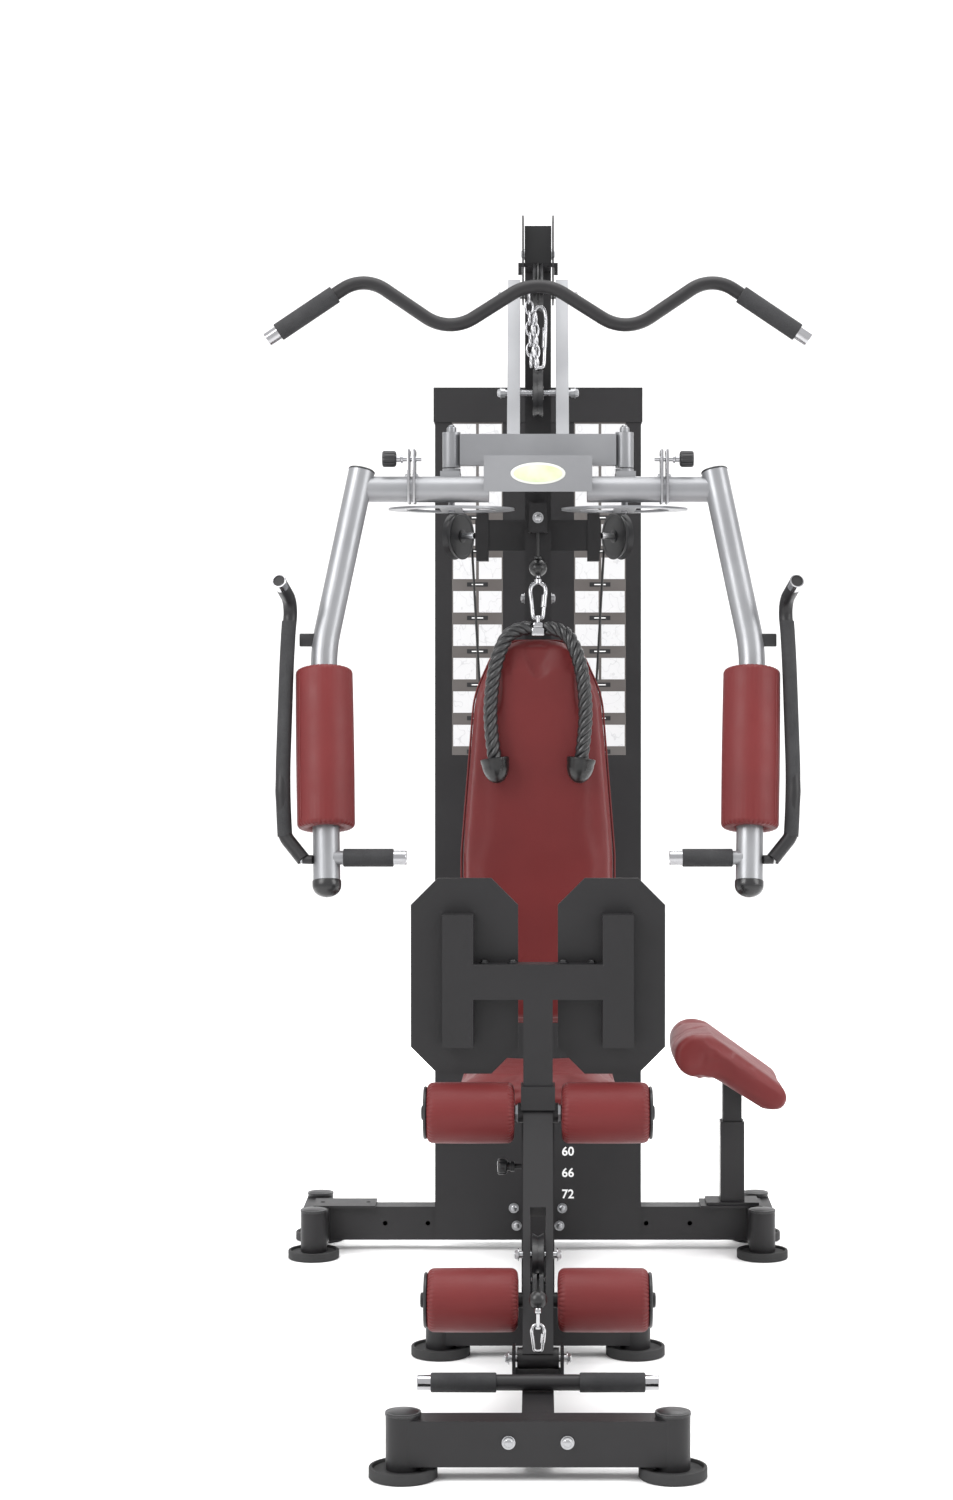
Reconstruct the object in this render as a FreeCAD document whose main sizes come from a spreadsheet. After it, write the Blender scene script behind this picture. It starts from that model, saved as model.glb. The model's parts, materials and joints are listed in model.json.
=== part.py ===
import FreeCAD, Part
import math
import os
import re
import Sketcher
from FreeCAD import Placement, Rotation, Vector

# Multi station home gym. Millimetres, +Z up, the user sits facing -Y.
# Lengths along Y are given as a reach forward of the line through the rear feet.

os.makedirs("parts", exist_ok=True)
doc = FreeCAD.newDocument("home_gym")
sheet = doc.addObject("Spreadsheet::Sheet", "Sizes")

sizes = {
    # frame tubes and feet
    "tube_wide": 50, "tube_tall": 70, "tube_wall": 2.5, "disc_dia": 106, "disc_thick": 14,
    "disc_lip": 6, "post_dia": 54, "base_low": 22, "cap_thick": 5, "origin_back": 689.5,
    "foot_half": 467, "foot_row": 190, "cross_back": 97, "mid_reach": 813, "mid_half": 175,
    "front_reach": 1569, "front_half": 207, "bolt_dia": 10, "bolt_head": 17, "head_tall": 7,
    # uprights and boom
    "upright_reach": 435, "boom_low": 1992, "boom_front": 590, "boom_back": 210,
    "drop_front": 160, "crown_half": 200, "crown_low": 1765, "crown_tall": 40,
    # weight stack and shroud
    "stack_back": 135, "rod_gap": 84, "rod_dia": 20, "plate_wide": 240, "plate_deep": 80,
    "plate_thick": 43, "plate_pitch": 45, "stack_low": 104, "stem_dia": 25, "pin_dia": 9,
    "run_gap": 0.08, "easy_gap": 1, "stack_travel": 600, "shroud_half": 217,
    "shroud_front": 68, "shroud_deep": 150, "shroud_top": 1815, "sheet_wall": 2, "header_tall": 70,
    # press arm
    "pivot_high": 1950, "arm_gap": 46, "arm_bar": 24, "arm_deep": 40, "yoke_reach": 600,
    "yoke_half": 146, "yoke_low": 1612, "yoke_tall": 58, "yoke_deep": 40, "hub_dia": 34,
    "hub_half": 162, "axle_dia": 12, "cover_half": 99,
    "cover_reach": 740, "cover_low": 1556, "cover_tall": 66, "cover_thick": 4, "press_wheel_high": 1754, "press_wheel_reach": 530,
    # fly arms
    "fly_dia": 48, "fly_reach": 700, "fly_high": 1562, "fly_inner": 90, "fly_outer": 324,
    "fly_knee": 388, "fly_knee_high": 1270, "fly_knee_reach": 775, "fly_end": 374,
    "fly_end_high": 850, "fly_end_reach": 890, "pad_dia": 105, "pad_long": 293,
    "grip_dia": 30, "bar_dia": 25, "handle_dia": 25, "grip_reach": 885, "grip_high": 899,
    "fly_pin_high": 1618,
    # wheels and cables
    "wheel_dia": 92, "wheel_thick": 18, "wheel_groove": 5, "cable_dia": 5,
    "lat_reach": 625, "lat_high": 1941, "rear_wheel_back": 90.5, "fly_wheel_half": 156,
    "fly_wheel_reach": 356, "fly_wheel_high": 1489, "low_wheel_reach": 850,
    "low_wheel_high": 142,
    # seat and back
    "back_half": 146, "back_low": 560, "back_waist": 880, "back_top_half": 122,
    "back_shoulder": 1180, "back_top": 1286, "back_front": 572, "back_thick": 55,
    "board_thick": 12, "seat_half": 142, "seat_back": 585, "seat_front": 868, "seat_top": 503,
    "seat_thick": 58, "sleeve_reach": 700, "sleeve_wall": 4, "sleeve_top": 425, "seat_drop": 250,
    "knob_high": 318, "side_bolt_high": 1366,
    # leg station
    "lever_pivot_reach": 1310, "lever_pivot_high": 118, "lever_top_reach": 1075,
    "lever_top_high": 478, "lever_deep": 40, "bush_dia": 34, "bush_long": 68, "roller_dia": 104,
    "roller_long": 156, "roller_gap": 40, "lower_gap": 32, "roller_low_high": 200, "plate_half_gap": 68,
    "foot_wide": 184, "foot_tall": 335, "foot_thick": 8, "foot_mid": 709, "foot_corner": 46,
    "cross_tube_low": 673, "foot_upright_low": 591,
    # preacher bench
    "bench_out": 410, "bench_sleeve_top": 270,
    # lat bar, low bar
    "lat_bar_reach": 691, "low_bar_half": 192, "low_bar_reach": 1423,
}
for row, (word, value) in enumerate(sizes.items(), 1):
    sheet.set("A%d" % row, word)
    sheet.set("B%d" % row, str(value))
    sheet.setAlias("B%d" % row, word)
doc.recompute()

subparts = []


def bound(text):
    """Point every size word in an expression at its cell."""
    def cell(match):
        word = match.group()
        return "Sizes." + word if word in sizes else word
    return re.sub(r"[a-z][a-z_]*", cell, str(text))


def size(text):
    """The value of an expression of size words, for pieces made in code."""
    sheet.set("D1", "=" + str(text))
    sheet.recompute()
    return float(sheet.get("D1"))


def bind(thing, **words):
    for name, text in words.items():
        thing.setExpression(name.replace("_at_", "."), bound(text))


def place(thing, x, y, z):
    bind(thing, Placement_at_Base_at_x=x, Placement_at_Base_at_y="(%s) + origin_back" % y,
         Placement_at_Base_at_z=z)


def block(x, y, z):
    """A box between two expressions along each axis."""
    thing = doc.addObject("Part::Box", "Block")
    bind(thing, Length="(%s) - (%s)" % (x[1], x[0]), Width="(%s) - (%s)" % (y[1], y[0]),
         Height="(%s) - (%s)" % (z[1], z[0]))
    place(thing, x[0], y[0], z[0])
    return thing


def rod(axis, start, dia, length):
    """A cylinder along X, Y or Z from a start point in the positive direction."""
    thing = doc.addObject("Part::Cylinder", "Rod")
    bind(thing, Radius="(%s) / 2" % dia, Height=length)
    turn = {"x": Rotation(Vector(0, 1, 0), 90), "y": Rotation(Vector(1, 0, 0), -90),
            "z": Rotation()}
    thing.Placement = Placement(Vector(0, 0, 0), turn[axis])
    place(thing, *start)
    return thing


def joined(parts):
    if len(parts) == 1:
        return parts[0]
    thing = doc.addObject("Part::MultiFuse", "Join")
    thing.Shapes = parts
    return thing


def piece(label, parts, cuts=()):
    """Fuse the parts into one solid, take the cuts away, and keep it as a sub-part."""
    thing = joined(list(parts))
    if cuts:
        cut = doc.addObject("Part::Cut", "Cut")
        cut.Base = thing
        cut.Tool = joined(list(cuts))
        thing = cut
    return keep(label, thing)


def keep(label, thing):
    thing.Label = label
    subparts.append(thing)
    return thing


def less(parts, cuts):
    cut = doc.addObject("Part::Cut", "Cut")
    cut.Base = joined(list(parts))
    cut.Tool = joined(list(cuts))
    return cut


def group(label, solids):
    """Separate solids that share one node."""
    thing = doc.addObject("Part::Compound", "Group")
    thing.Links = list(solids)
    return keep(label, thing)


def shaped(label, shape):
    """A piece whose path no primitive gives; its shape is worked out from the sheet."""
    thing = doc.addObject("Part::Feature", "Shaped")
    thing.Shape = shape
    thing.Placement = Placement(Vector(0, size("origin_back"), 0), Rotation()).multiply(shape.Placement)
    return keep(label, thing)


def route(points, bends):
    """Straight runs joined by tangent arcs, one bend radius for each inner point."""
    points = [Vector(*point) for point in points]
    edges = []
    start = points[0]
    for index in range(1, len(points) - 1):
        corner = points[index]
        before = (corner - points[index - 1]).normalize()
        after = (points[index + 1] - corner).normalize()
        turn = before.getAngle(after)
        radius = bends[index - 1]
        trim = radius * math.tan(turn / 2)
        first = corner - before * trim
        last = corner + after * trim
        inward = (after - before).normalize()
        middle = corner + inward * (radius / math.cos(turn / 2) - radius)
        edges.append(Part.LineSegment(start, first).toShape())
        edges.append(Part.Arc(first, middle, last).toShape())
        start = last
    edges.append(Part.LineSegment(start, points[-1]).toShape())
    return Part.Wire(edges)


def pipe(points, bends, dia):
    """A round bar along a route, its volume checked against section times length."""
    path = route(points, bends)
    heading = Vector(*points[1]) - Vector(*points[0])
    ring = Part.Wire(Part.Circle(Vector(*points[0]), heading, dia / 2).toShape())
    solid = path.makePipeShell([ring], True, False)
    ideal = math.pi * dia * dia / 4 * path.Length
    if abs(solid.Volume - ideal) > 0.01 * ideal:
        raise ValueError("pipe volume is off: %.0f for %.0f" % (solid.Volume, ideal))
    return solid


def mirrored(point):
    return (-point[0], point[1], point[2])


def straight(start, end, dia):
    start = Vector(*start)
    end = Vector(*end)
    return Part.makeCylinder(dia / 2, (end - start).Length, start, end - start)


def wheel(axis_point, turn=0, dia="wheel_dia"):
    """A grooved cable wheel with its axle hole, axis along X unless turned."""
    half = size("wheel_thick / 2")
    outer = size("(%s) / 2" % dia)
    inner = outer - size("wheel_groove")
    bore = size("axle_dia / 2 + run_gap")
    profile = [(bore, -half), (outer, -half), (inner, 0), (outer, half), (bore, half)]
    ring = [Vector(0, radius, along) for radius, along in profile]
    face = Part.Face(Part.makePolygon(ring + ring[:1]))
    solid = face.revolve(Vector(0, 0, 0), Vector(0, 0, 1), 360)
    solid.rotate(Vector(0, 0, 0), Vector(0, 1, 0), 90)
    if turn:
        solid.rotate(Vector(0, 0, 0), Vector(0, 0, 1), turn)
    solid.translate(Vector(*axis_point))
    return solid


def sketch_body(label, plane, corners, thick, hollow=(), at=("0", "0", "0"), arc=None):
    """A padded outline. Each corner is a pair of expressions; arc names the span that is
    an arc with a given radius, and hollow lists round holes as (x, y, diameter)."""
    body = doc.addObject("PartDesign::Body", "Body")
    drawing = body.newObject("Sketcher::SketchObject", "Outline")
    plane_object = [item for item in body.Origin.OriginFeatures if item.Role == plane][0]
    drawing.AttachmentSupport = [(plane_object, "")]
    drawing.MapMode = "FlatFace"
    spots = [Vector(size(first), size(second), 0) for first, second in corners]
    count = len(spots)
    for index in range(count):
        begin = spots[index]
        end = spots[(index + 1) % count]
        if arc and index == arc[0]:
            radius = size(arc[1])
            half = (end - begin) * 0.5
            middle = begin + half
            rise = radius - math.sqrt(radius ** 2 - half.Length ** 2)
            outward = Vector(half.y, -half.x, 0).normalize()
            drawing.addGeometry(Part.Arc(begin, middle + outward * rise * arc[2], end))
        else:
            drawing.addGeometry(Part.LineSegment(begin, end))
    straights = [index for index in range(count) if not (arc and index == arc[0])]
    for index in straights:
        for axis, text in zip(("DistanceX", "DistanceY"), corners[index]):
            value = size(text)
            mark = drawing.addConstraint(Sketcher.Constraint(axis, -1, 1, index, 1, value))
            drawing.setExpression("Constraints[%d]" % mark, bound(text))
    if arc:
        previous = arc[0] - 1
        for axis, text in zip(("DistanceX", "DistanceY"), corners[arc[0]]):
            value = size(text)
            mark = drawing.addConstraint(Sketcher.Constraint(axis, -1, 1, previous, 2, value))
            drawing.setExpression("Constraints[%d]" % mark, bound(text))
        mark = drawing.addConstraint(Sketcher.Constraint("Radius", arc[0], size(arc[1])))
        drawing.setExpression("Constraints[%d]" % mark, bound(arc[1]))
    for spot in hollow:
        centre = Vector(size(spot[0]), size(spot[1]), 0)
        index = drawing.addGeometry(Part.Circle(centre, Vector(0, 0, 1), size(spot[2]) / 2))
        for kind, text in (("DistanceX", spot[0]), ("DistanceY", spot[1])):
            rule = Sketcher.Constraint(kind, -1, 1, index, 3, size(text))
            mark = drawing.addConstraint(rule)
            drawing.setExpression("Constraints[%d]" % mark, bound(text))
        rule = Sketcher.Constraint("Radius", index, size(spot[2]) / 2)
        mark = drawing.addConstraint(rule)
        drawing.setExpression("Constraints[%d]" % mark, bound("(%s) / 2" % spot[2]))
    pad = body.newObject("PartDesign::Pad", "Pad")
    pad.Profile = drawing
    bind(pad, Length=thick)
    pad.Midplane = True
    body.Label = label
    place(body, *at)
    return body


# ---- base frame ----
base_top = "(base_low + tube_tall)"
half_tube = "tube_wide / 2"


def tube_along(axis, start, end, across, low, high):
    """A rectangular steel tube, open at both ends."""
    wall = "tube_wall"
    inner_across = ("%s + %s" % (across[0], wall), "%s - %s" % (across[1], wall))
    inner_high = ("%s + %s" % (low, wall), "%s - %s" % (high, wall))
    past = ("%s - 1" % start, "%s + 1" % end)
    if axis == "x":
        return less([block((start, end), across, (low, high))],
                    [block(past, inner_across, inner_high)])
    return less([block(across, (start, end), (low, high))],
                [block(inner_across, past, inner_high)])


def feet(half, reach, posts, discs, caps):
    """A post with its cap and its rubber disc at each side."""
    for side in ("-", ""):
        spot = "%s%s" % (side, half)
        post = [spot, "-%s" % reach, "disc_thick"]
        posts.append(rod("z", post, "post_dia", "%s + 4 - disc_thick" % base_top))
        outer = rod("z", [spot, "-%s" % reach, "0"], "disc_dia", "disc_thick + 4")
        dish = rod("z", [spot, "-%s" % reach, "disc_thick - 0.3"],
                   "disc_dia - 2 * disc_lip", "10")
        discs.append(less([outer], [dish]))
        top = "%s + 4" % base_top
        caps.append(rod("z", [spot, "-%s" % reach, top], "post_dia + 1", "cap_thick"))


discs, caps = [], []
rear_posts, mid_posts, front_posts = [], [], []
feet("foot_half", "0", rear_posts, discs, caps)
feet("foot_half", "(-foot_row)", rear_posts, discs, caps)
feet("mid_half", "mid_reach", mid_posts, discs, caps)
feet("front_half", "front_reach", front_posts, discs, caps)
cross = ("cross_back - %s" % half_tube, "cross_back + %s" % half_tube)
cross_low, cross_high = "base_low", base_top
side_tubes = []
for side in (-1, 1):
    inner = "%d * foot_half - post_dia / 2" % side
    outer = "%d * foot_half + post_dia / 2" % side
    side_tubes.append(block((inner, outer), ("0", "foot_row"), (cross_low, cross_high)))
bolt_holes = [rod("y", ["%d" % place_x, "cross_back - tube_wide", "base_low + tube_tall / 2"],
                  "bolt_dia", "tube_wide") for place_x in (-322, -232, 228, 320)]
rear_cross = less([tube_along("x", "-foot_half + 5", "foot_half - 5", cross, cross_low, cross_high)],
                  bolt_holes)

end_plates = []
for side in (-1, 1):
    middle = "%d * (foot_half - 60)" % side
    plate = block(("%s - 65" % middle, "%s + 65" % middle), ("cross_back - 42", "cross_back + 42"),
                  ("%s + 0.2" % base_top, "%s + 5" % base_top))
    holes = [rod("z", ["%s + %d" % (middle, step), "cross_back", base_top], "bolt_dia", "20")
             for step in (-48, 48)]
    end_plates.append(less([plate], holes))

group("rear_base", [joined(rear_posts + side_tubes + [rear_cross])] + end_plates)

mid_tubes = []
for side in (-1, 1):
    inner, outer = "%d * mid_half" % side, "%d * %s" % (side, half_tube)
    low, high = (inner, outer) if side < 0 else (outer, inner)
    across = ("-mid_reach - %s" % half_tube, "-mid_reach + %s" % half_tube)
    shift = 0.3 * side
    mid_tubes.append(tube_along("x", "%s + %s" % (low, shift), "%s + %s" % (high, shift),
                                across, "base_low", base_top))
group("mid_stabiliser", [joined([mid_posts[0], mid_tubes[0]]), joined([mid_posts[1], mid_tubes[1]])])
front_across = ("-front_reach - %s" % half_tube, "-front_reach + %s" % half_tube)
front_cross = less([block(("-front_half", "front_half"), front_across, ("base_low", base_top))],
                   [block(("-front_half + 40", "front_half - 40"),
                          ("-front_reach - %s + tube_wall" % half_tube,
                           "-front_reach + %s - tube_wall" % half_tube),
                          ("base_low - 1", "%s - tube_wall" % base_top))])
piece("front_stabiliser", front_posts + [front_cross])
group("foot_discs", discs)
lug_reach = ("-lever_pivot_reach - 24", "-lever_pivot_reach + 24")
lugs = [block(("-42", "42"), lug_reach, (base_top + " - 0.1", base_top + " + 5"))]
for low, high in (("-42", "-36.5"), ("36.5", "42")):
    lugs.append(less([block((low, high), lug_reach, (base_top + " + 4", "lever_pivot_high + 18"))],
                     [rod("x", ["-50", "-lever_pivot_reach", "lever_pivot_high"], "axle_dia + 0.2", "100")]))
piece("floor_tube", [tube_along("y", "-front_reach + %s + 0.2" % half_tube,
                                "cross_back - %s - 0.2" % half_tube,
                                ("-%s" % half_tube, half_tube), "base_low", base_top)] + lugs)

# ---- upright and boom ----
upright = ("-upright_reach - tube_tall / 2", "-upright_reach + tube_tall / 2")
upright_tube = less([block(("-%s" % half_tube, half_tube), upright, (base_top + " + 0.2", "boom_low - 0.2"))],
                    [block(("-%s + tube_wall" % half_tube, "%s - tube_wall" % half_tube),
                           ("%s + tube_wall" % upright[0], "%s - tube_wall" % upright[1]),
                           (base_top + " - 1", "boom_low + 1")),
                     rod("x", ["-40", "-upright_reach", "pivot_high"], "axle_dia + 2 * run_gap", "80"),
                     rod("y", ["0", "-upright_reach - 50", "lat_high + wheel_dia / 2 - 2.5"],
                         "16", "100")])
fly_back = "-upright_reach + tube_tall / 2"
cross_plate = block(("-122", "122"), (fly_back + " - 0.1", fly_back + " + 6"),
                    ("fly_wheel_high - 30", "fly_wheel_high + 30"))
mid_bracket = less([block(("-17", "17"), (upright[0] + " - 76", upright[0] + " + 0.1"),
                          ("fly_wheel_high", "fly_wheel_high + 56"))],
                   [block(("-13", "13"), (upright[0] + " - 70", upright[0]),
                          ("fly_wheel_high - 1", "fly_wheel_high + 52"))])
tabs = []
for side in (-1, 1):
    near, far = ("-120", "-96") if side < 0 else ("96", "120")
    tab = block((near, far), ("-fly_wheel_reach - 46", "-fly_wheel_reach - 6"),
                ("fly_wheel_high - 50", "fly_wheel_high + 50"))
    tabs.append(tab)
piece("main_upright", [upright_tube, cross_plate, mid_bracket] + tabs)
boom_top = "(boom_low + tube_tall)"
boom = tube_along("y", "-boom_front", "boom_back", ("-%s" % half_tube, half_tube),
                  "boom_low", boom_top)
drop = block(("-%s" % half_tube, half_tube), ("drop_front", "boom_back"),
             ("crown_low + crown_tall", "boom_low + 5"))
crown = less([block(("-crown_half", "crown_half"), ("stack_back - 30", "boom_back"),
                    ("crown_low", "crown_low + crown_tall"))],
             [rod("z", ["0", "stack_back", "crown_low - 5"], "16", "60"),
              rod("z", ["-rod_gap", "stack_back", "crown_low - 10"], "rod_dia + 0.4", "30"),
              rod("z", ["rod_gap", "stack_back", "crown_low - 10"], "rod_dia + 0.4", "30")])
piece("top_boom", [boom, drop, crown])
boom_caps = [block(("-%s" % half_tube, half_tube), ("-boom_front - 4", "-boom_front - 0.2"),
                   ("boom_low", boom_top)),
             block(("-%s" % half_tube, half_tube), ("boom_back + 0.2", "boom_back + 4"),
                   ("boom_low", boom_top))]
plate_sides = []
for side in (-1, 1):
    low = "%d * 28 - 1.5" % side
    outer = block((low, low + " + 3"), ("-lat_reach - 18", "-lat_reach + 60"),
                  ("lat_high - 25", "boom_low + tube_tall + 12"))
    hole = rod("x", ["-40", "-lat_reach", "lat_high"], "axle_dia + 0.2", "80")
    plate_sides.append(less([outer], [hole]))
plate_sides.append(less([block(("-37", "37"), ("-boom_front - 16", "-boom_front - 6"),
                                 ("lat_high + 28", "boom_low - 1"))],
                          [block(("-30", "30"), ("-boom_front - 20", "-boom_front"),
                                 ("lat_high + 20", "boom_low - 8")),
                           block(("-4", "4"), ("-boom_front - 20", "-boom_front"),
                                 ("lat_high + 20", "boom_low - 3"))]))
rear_sides = []
for side in (-1, 1):
    low = "%d * 20 - 1.5" % side
    rear_sides.append(less([block((low, low + " + 3"), ("rear_wheel_back - 18", "rear_wheel_back + 18"),
                                  ("lat_high - 20", "boom_low - 0.2"))],
                           [rod("x", ["-40", "rear_wheel_back", "lat_high"], "axle_dia + 0.2", "80")]))
low_sides = []
for side in (-1, 1):
    low = "%d * 15 - 1.5" % side
    cheek = block((low, low + " + 3"), ("-low_wheel_reach - 20", "-low_wheel_reach + 20"),
                  (base_top + " + 0.2", "low_wheel_high + 18"))
    low_sides.append(less([cheek], [rod("x", ["-40", "-low_wheel_reach", "low_wheel_high"],
                                        "axle_dia + 0.2", "80")]))
group("pulley_plates", plate_sides + rear_sides + low_sides)

# ---- weight stack ----
rods = [rod("z", ["%d * rod_gap" % side, "stack_back", base_top + " + 0.2"], "rod_dia",
            "crown_low + 15 - %s" % base_top) for side in (-1, 1)]
group("guide_rods", rods)
bumpers = []
for side in (-1, 1):
    ring = rod("z", ["%d * rod_gap" % side, "stack_back", base_top + " + 0.2"], "34",
               "stack_low - %s - 0.5" % base_top)
    bumpers.append(less([ring], [rod("z", ["%d * rod_gap" % side, "stack_back", base_top],
                                     "rod_dia + 0.4", "30")]))
group("caps_and_bumpers", caps + boom_caps + bumpers)
stack_holes = [("-rod_gap", "0", "rod_dia + 2 * easy_gap"), ("0", "0", "stem_dia + 2 * easy_gap"),
               ("rod_gap", "0", "rod_dia + 2 * easy_gap")]


def weight_plate(level):
    """One cast plate: three holes through it and one across for the selector pin."""
    corners = [("-plate_wide / 2", "-plate_deep / 2"), ("plate_wide / 2", "-plate_deep / 2"),
               ("plate_wide / 2", "plate_deep / 2"), ("-plate_wide / 2", "plate_deep / 2")]
    middle = "stack_low + plate_pitch * %s + plate_thick / 2" % level
    body = sketch_body("plate", "XY_Plane", corners, "plate_thick", stack_holes,
                       ("0", "stack_back", middle))
    slot = rod("y", ["0", "stack_back - plate_deep", middle], "pin_dia + 2", "plate_deep")
    return less([body], [slot])


group("resting_plates", [weight_plate(level) for level in range(8)])
group("lifted_plates", [weight_plate(level) for level in range(8, 12)])
head_low = "stack_low + plate_pitch * 12"
pin_high = "(stack_low + plate_pitch * 8 + plate_thick / 2)"
head = less([block(("-plate_wide / 2", "plate_wide / 2"),
                   ("stack_back - plate_deep / 2", "stack_back + plate_deep / 2"),
                   (head_low, head_low + " + 30"))],
            [rod("z", ["-rod_gap", "stack_back", head_low + " - 5"], "rod_dia + 2 * easy_gap", "50"),
             rod("z", ["rod_gap", "stack_back", head_low + " - 5"], "rod_dia + 2 * easy_gap", "50")])
stem = rod("z", ["0", "stack_back", "stack_low + 4"], "stem_dia", head_low + " - stack_low + 66")
pin_holes = [rod("y", ["0", "stack_back - 30", "stack_low + plate_pitch * %d + plate_thick / 2" % level],
                 "pin_dia + 0.6", "60") for level in range(12)]
piece("selector_stem", [head, stem], pin_holes)
pin_start = "stack_back + stem_dia / 2 - 0.5"
pin_face = "shroud_front - 14"
piece("selector_pin", [rod("y", ["0", pin_face, pin_high], "pin_dia", "%s - (%s)" % (pin_start, pin_face)),
                       rod("y", ["0", "shroud_front - 44", pin_high], "24", "30")])

# ---- shroud ----
shroud_low, pin_slot = "base_low + 1", "40"
panel = block(("-shroud_half", "shroud_half"), ("shroud_front", "shroud_front + sheet_wall"),
              (shroud_low, "shroud_top"))
flanges = [block((edge, "%s + sheet_wall" % edge), ("shroud_front", "shroud_front + shroud_deep"),
                 (base_top + " + 1", "shroud_top")) for edge in ("-shroud_half", "shroud_half - sheet_wall")]
slot = block(("-%s / 2" % pin_slot, "%s / 2" % pin_slot), ("shroud_front - 5", "shroud_front + 10"),
             ("stack_low", pin_high + " + stack_travel + 30"))
tube_gap = block(("-%s - 1" % half_tube, "%s + 1" % half_tube),
                 ("shroud_front - 5", "shroud_front + 10"), ("0", base_top + " + 1"))
piece("stack_shroud", [panel] + flanges, [slot, tube_gap])
header_low = "shroud_top - header_tall"
keep("shroud_header", less([block(("-shroud_half - 3", "shroud_half + 3"),
                                  ("shroud_front - 3", "shroud_front + shroud_deep + 3"),
                                  (header_low, "shroud_top + 3"))],
                           [block(("-shroud_half - 0.3", "shroud_half + 0.3"),
                                  ("shroud_front - 0.3", "shroud_front + shroud_deep + 0.3"),
                                  (header_low + " - 1", "shroud_top + 0.3")),
                            block(("-%s - 2" % half_tube, "%s + 2" % half_tube),
                                  ("stack_back - 12", "boom_back + 4"),
                                  ("shroud_top - 1", "shroud_top + 9"))]))

# ---- press arm ----

def press_bar(side):
    """A flat-sided bar from the pivot down to the yoke, leaning forward."""
    top = Vector(0, -size("upright_reach"), size("pivot_high"))
    low = Vector(0, -size("yoke_reach"), size("yoke_low + 20"))
    along = (low - top).normalize()
    across = Vector(0, along.z, -along.y) * size("arm_deep / 2")
    top = top - along * 24
    left = Vector(size("%d * arm_gap - arm_bar / 2" % side), 0, 0)
    corners = [left + top - across, left + top + across, left + low + across, left + low - across]
    face = Part.Face(Part.makePolygon(corners + corners[:1]))
    return face.extrude(Vector(size("arm_bar"), 0, 0))


yoke_box = Part.makeBox(size("2 * yoke_half"), size("yoke_deep"), size("yoke_tall"),
                        Vector(-size("yoke_half"), -size("yoke_reach + yoke_deep / 2"), size("yoke_low")))
press = yoke_box.fuse([press_bar(-1), press_bar(1)])
hub = size("hub_dia / 2")
for side in (-1, 1):
    spot = Vector(side * size("hub_half"), -size("yoke_reach"), size("yoke_low - 4"))
    press = press.fuse(Part.makeCylinder(hub, size("yoke_tall + 8"), spot))
for reach, high in ((size("upright_reach"), size("pivot_high")),
                    (size("press_wheel_reach"), size("press_wheel_high"))):
    bore = Part.makeCylinder(size("axle_dia / 2 + run_gap"), 200, Vector(-100, -reach, high), Vector(1, 0, 0))
    press = press.cut(bore)
for side in (-1, 1):
    spot = Vector(side * size("hub_half"), -size("yoke_reach"), size("yoke_low - 20"))
    press = press.cut(Part.makeCylinder(size("axle_dia / 2 + run_gap"), 120, spot))
cover_corner = Vector(-size("cover_half"), -size("cover_reach"), size("cover_low"))
cover = Part.makeBox(size("2 * cover_half"), size("cover_thick"), size("cover_tall"), cover_corner)
shelf = Part.makeBox(size("2 * cover_half"), size("cover_reach - yoke_reach"), size("cover_thick"),
                     cover_corner + Vector(0, 0, size("cover_tall - cover_thick")))
press = press.fuse([cover, shelf])
shaped("press_yoke", press.removeSplitter())


def crescent(side):
    """A curved, slotted stop plate under each fly arm, round the fly pivot."""
    centre = Vector(side * size("hub_half"), -size("yoke_reach"), size("fly_high - fly_dia / 2 - 10"))
    ring = Part.makeCylinder(118, 4, centre).cut(Part.makeCylinder(84, 4, centre))
    bar = Part.makeBox(40, 200, 4, centre + Vector(-20, -100, 0))
    bore = Part.makeCylinder(size("axle_dia / 2 + run_gap"), 20, centre + Vector(0, 0, -5))
    return ring.fuse(bar).cut(bore).removeSplitter()


shaped("stop_crescents", Part.makeCompound([crescent(-1), crescent(1)]))

# ---- fly arms, one each side ----
lug_low = size("fly_high + fly_dia / 2 - 8")


def along(start, end, distance):
    start, end = Vector(*start), Vector(*end)
    return start + (end - start).normalize() * distance


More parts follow.
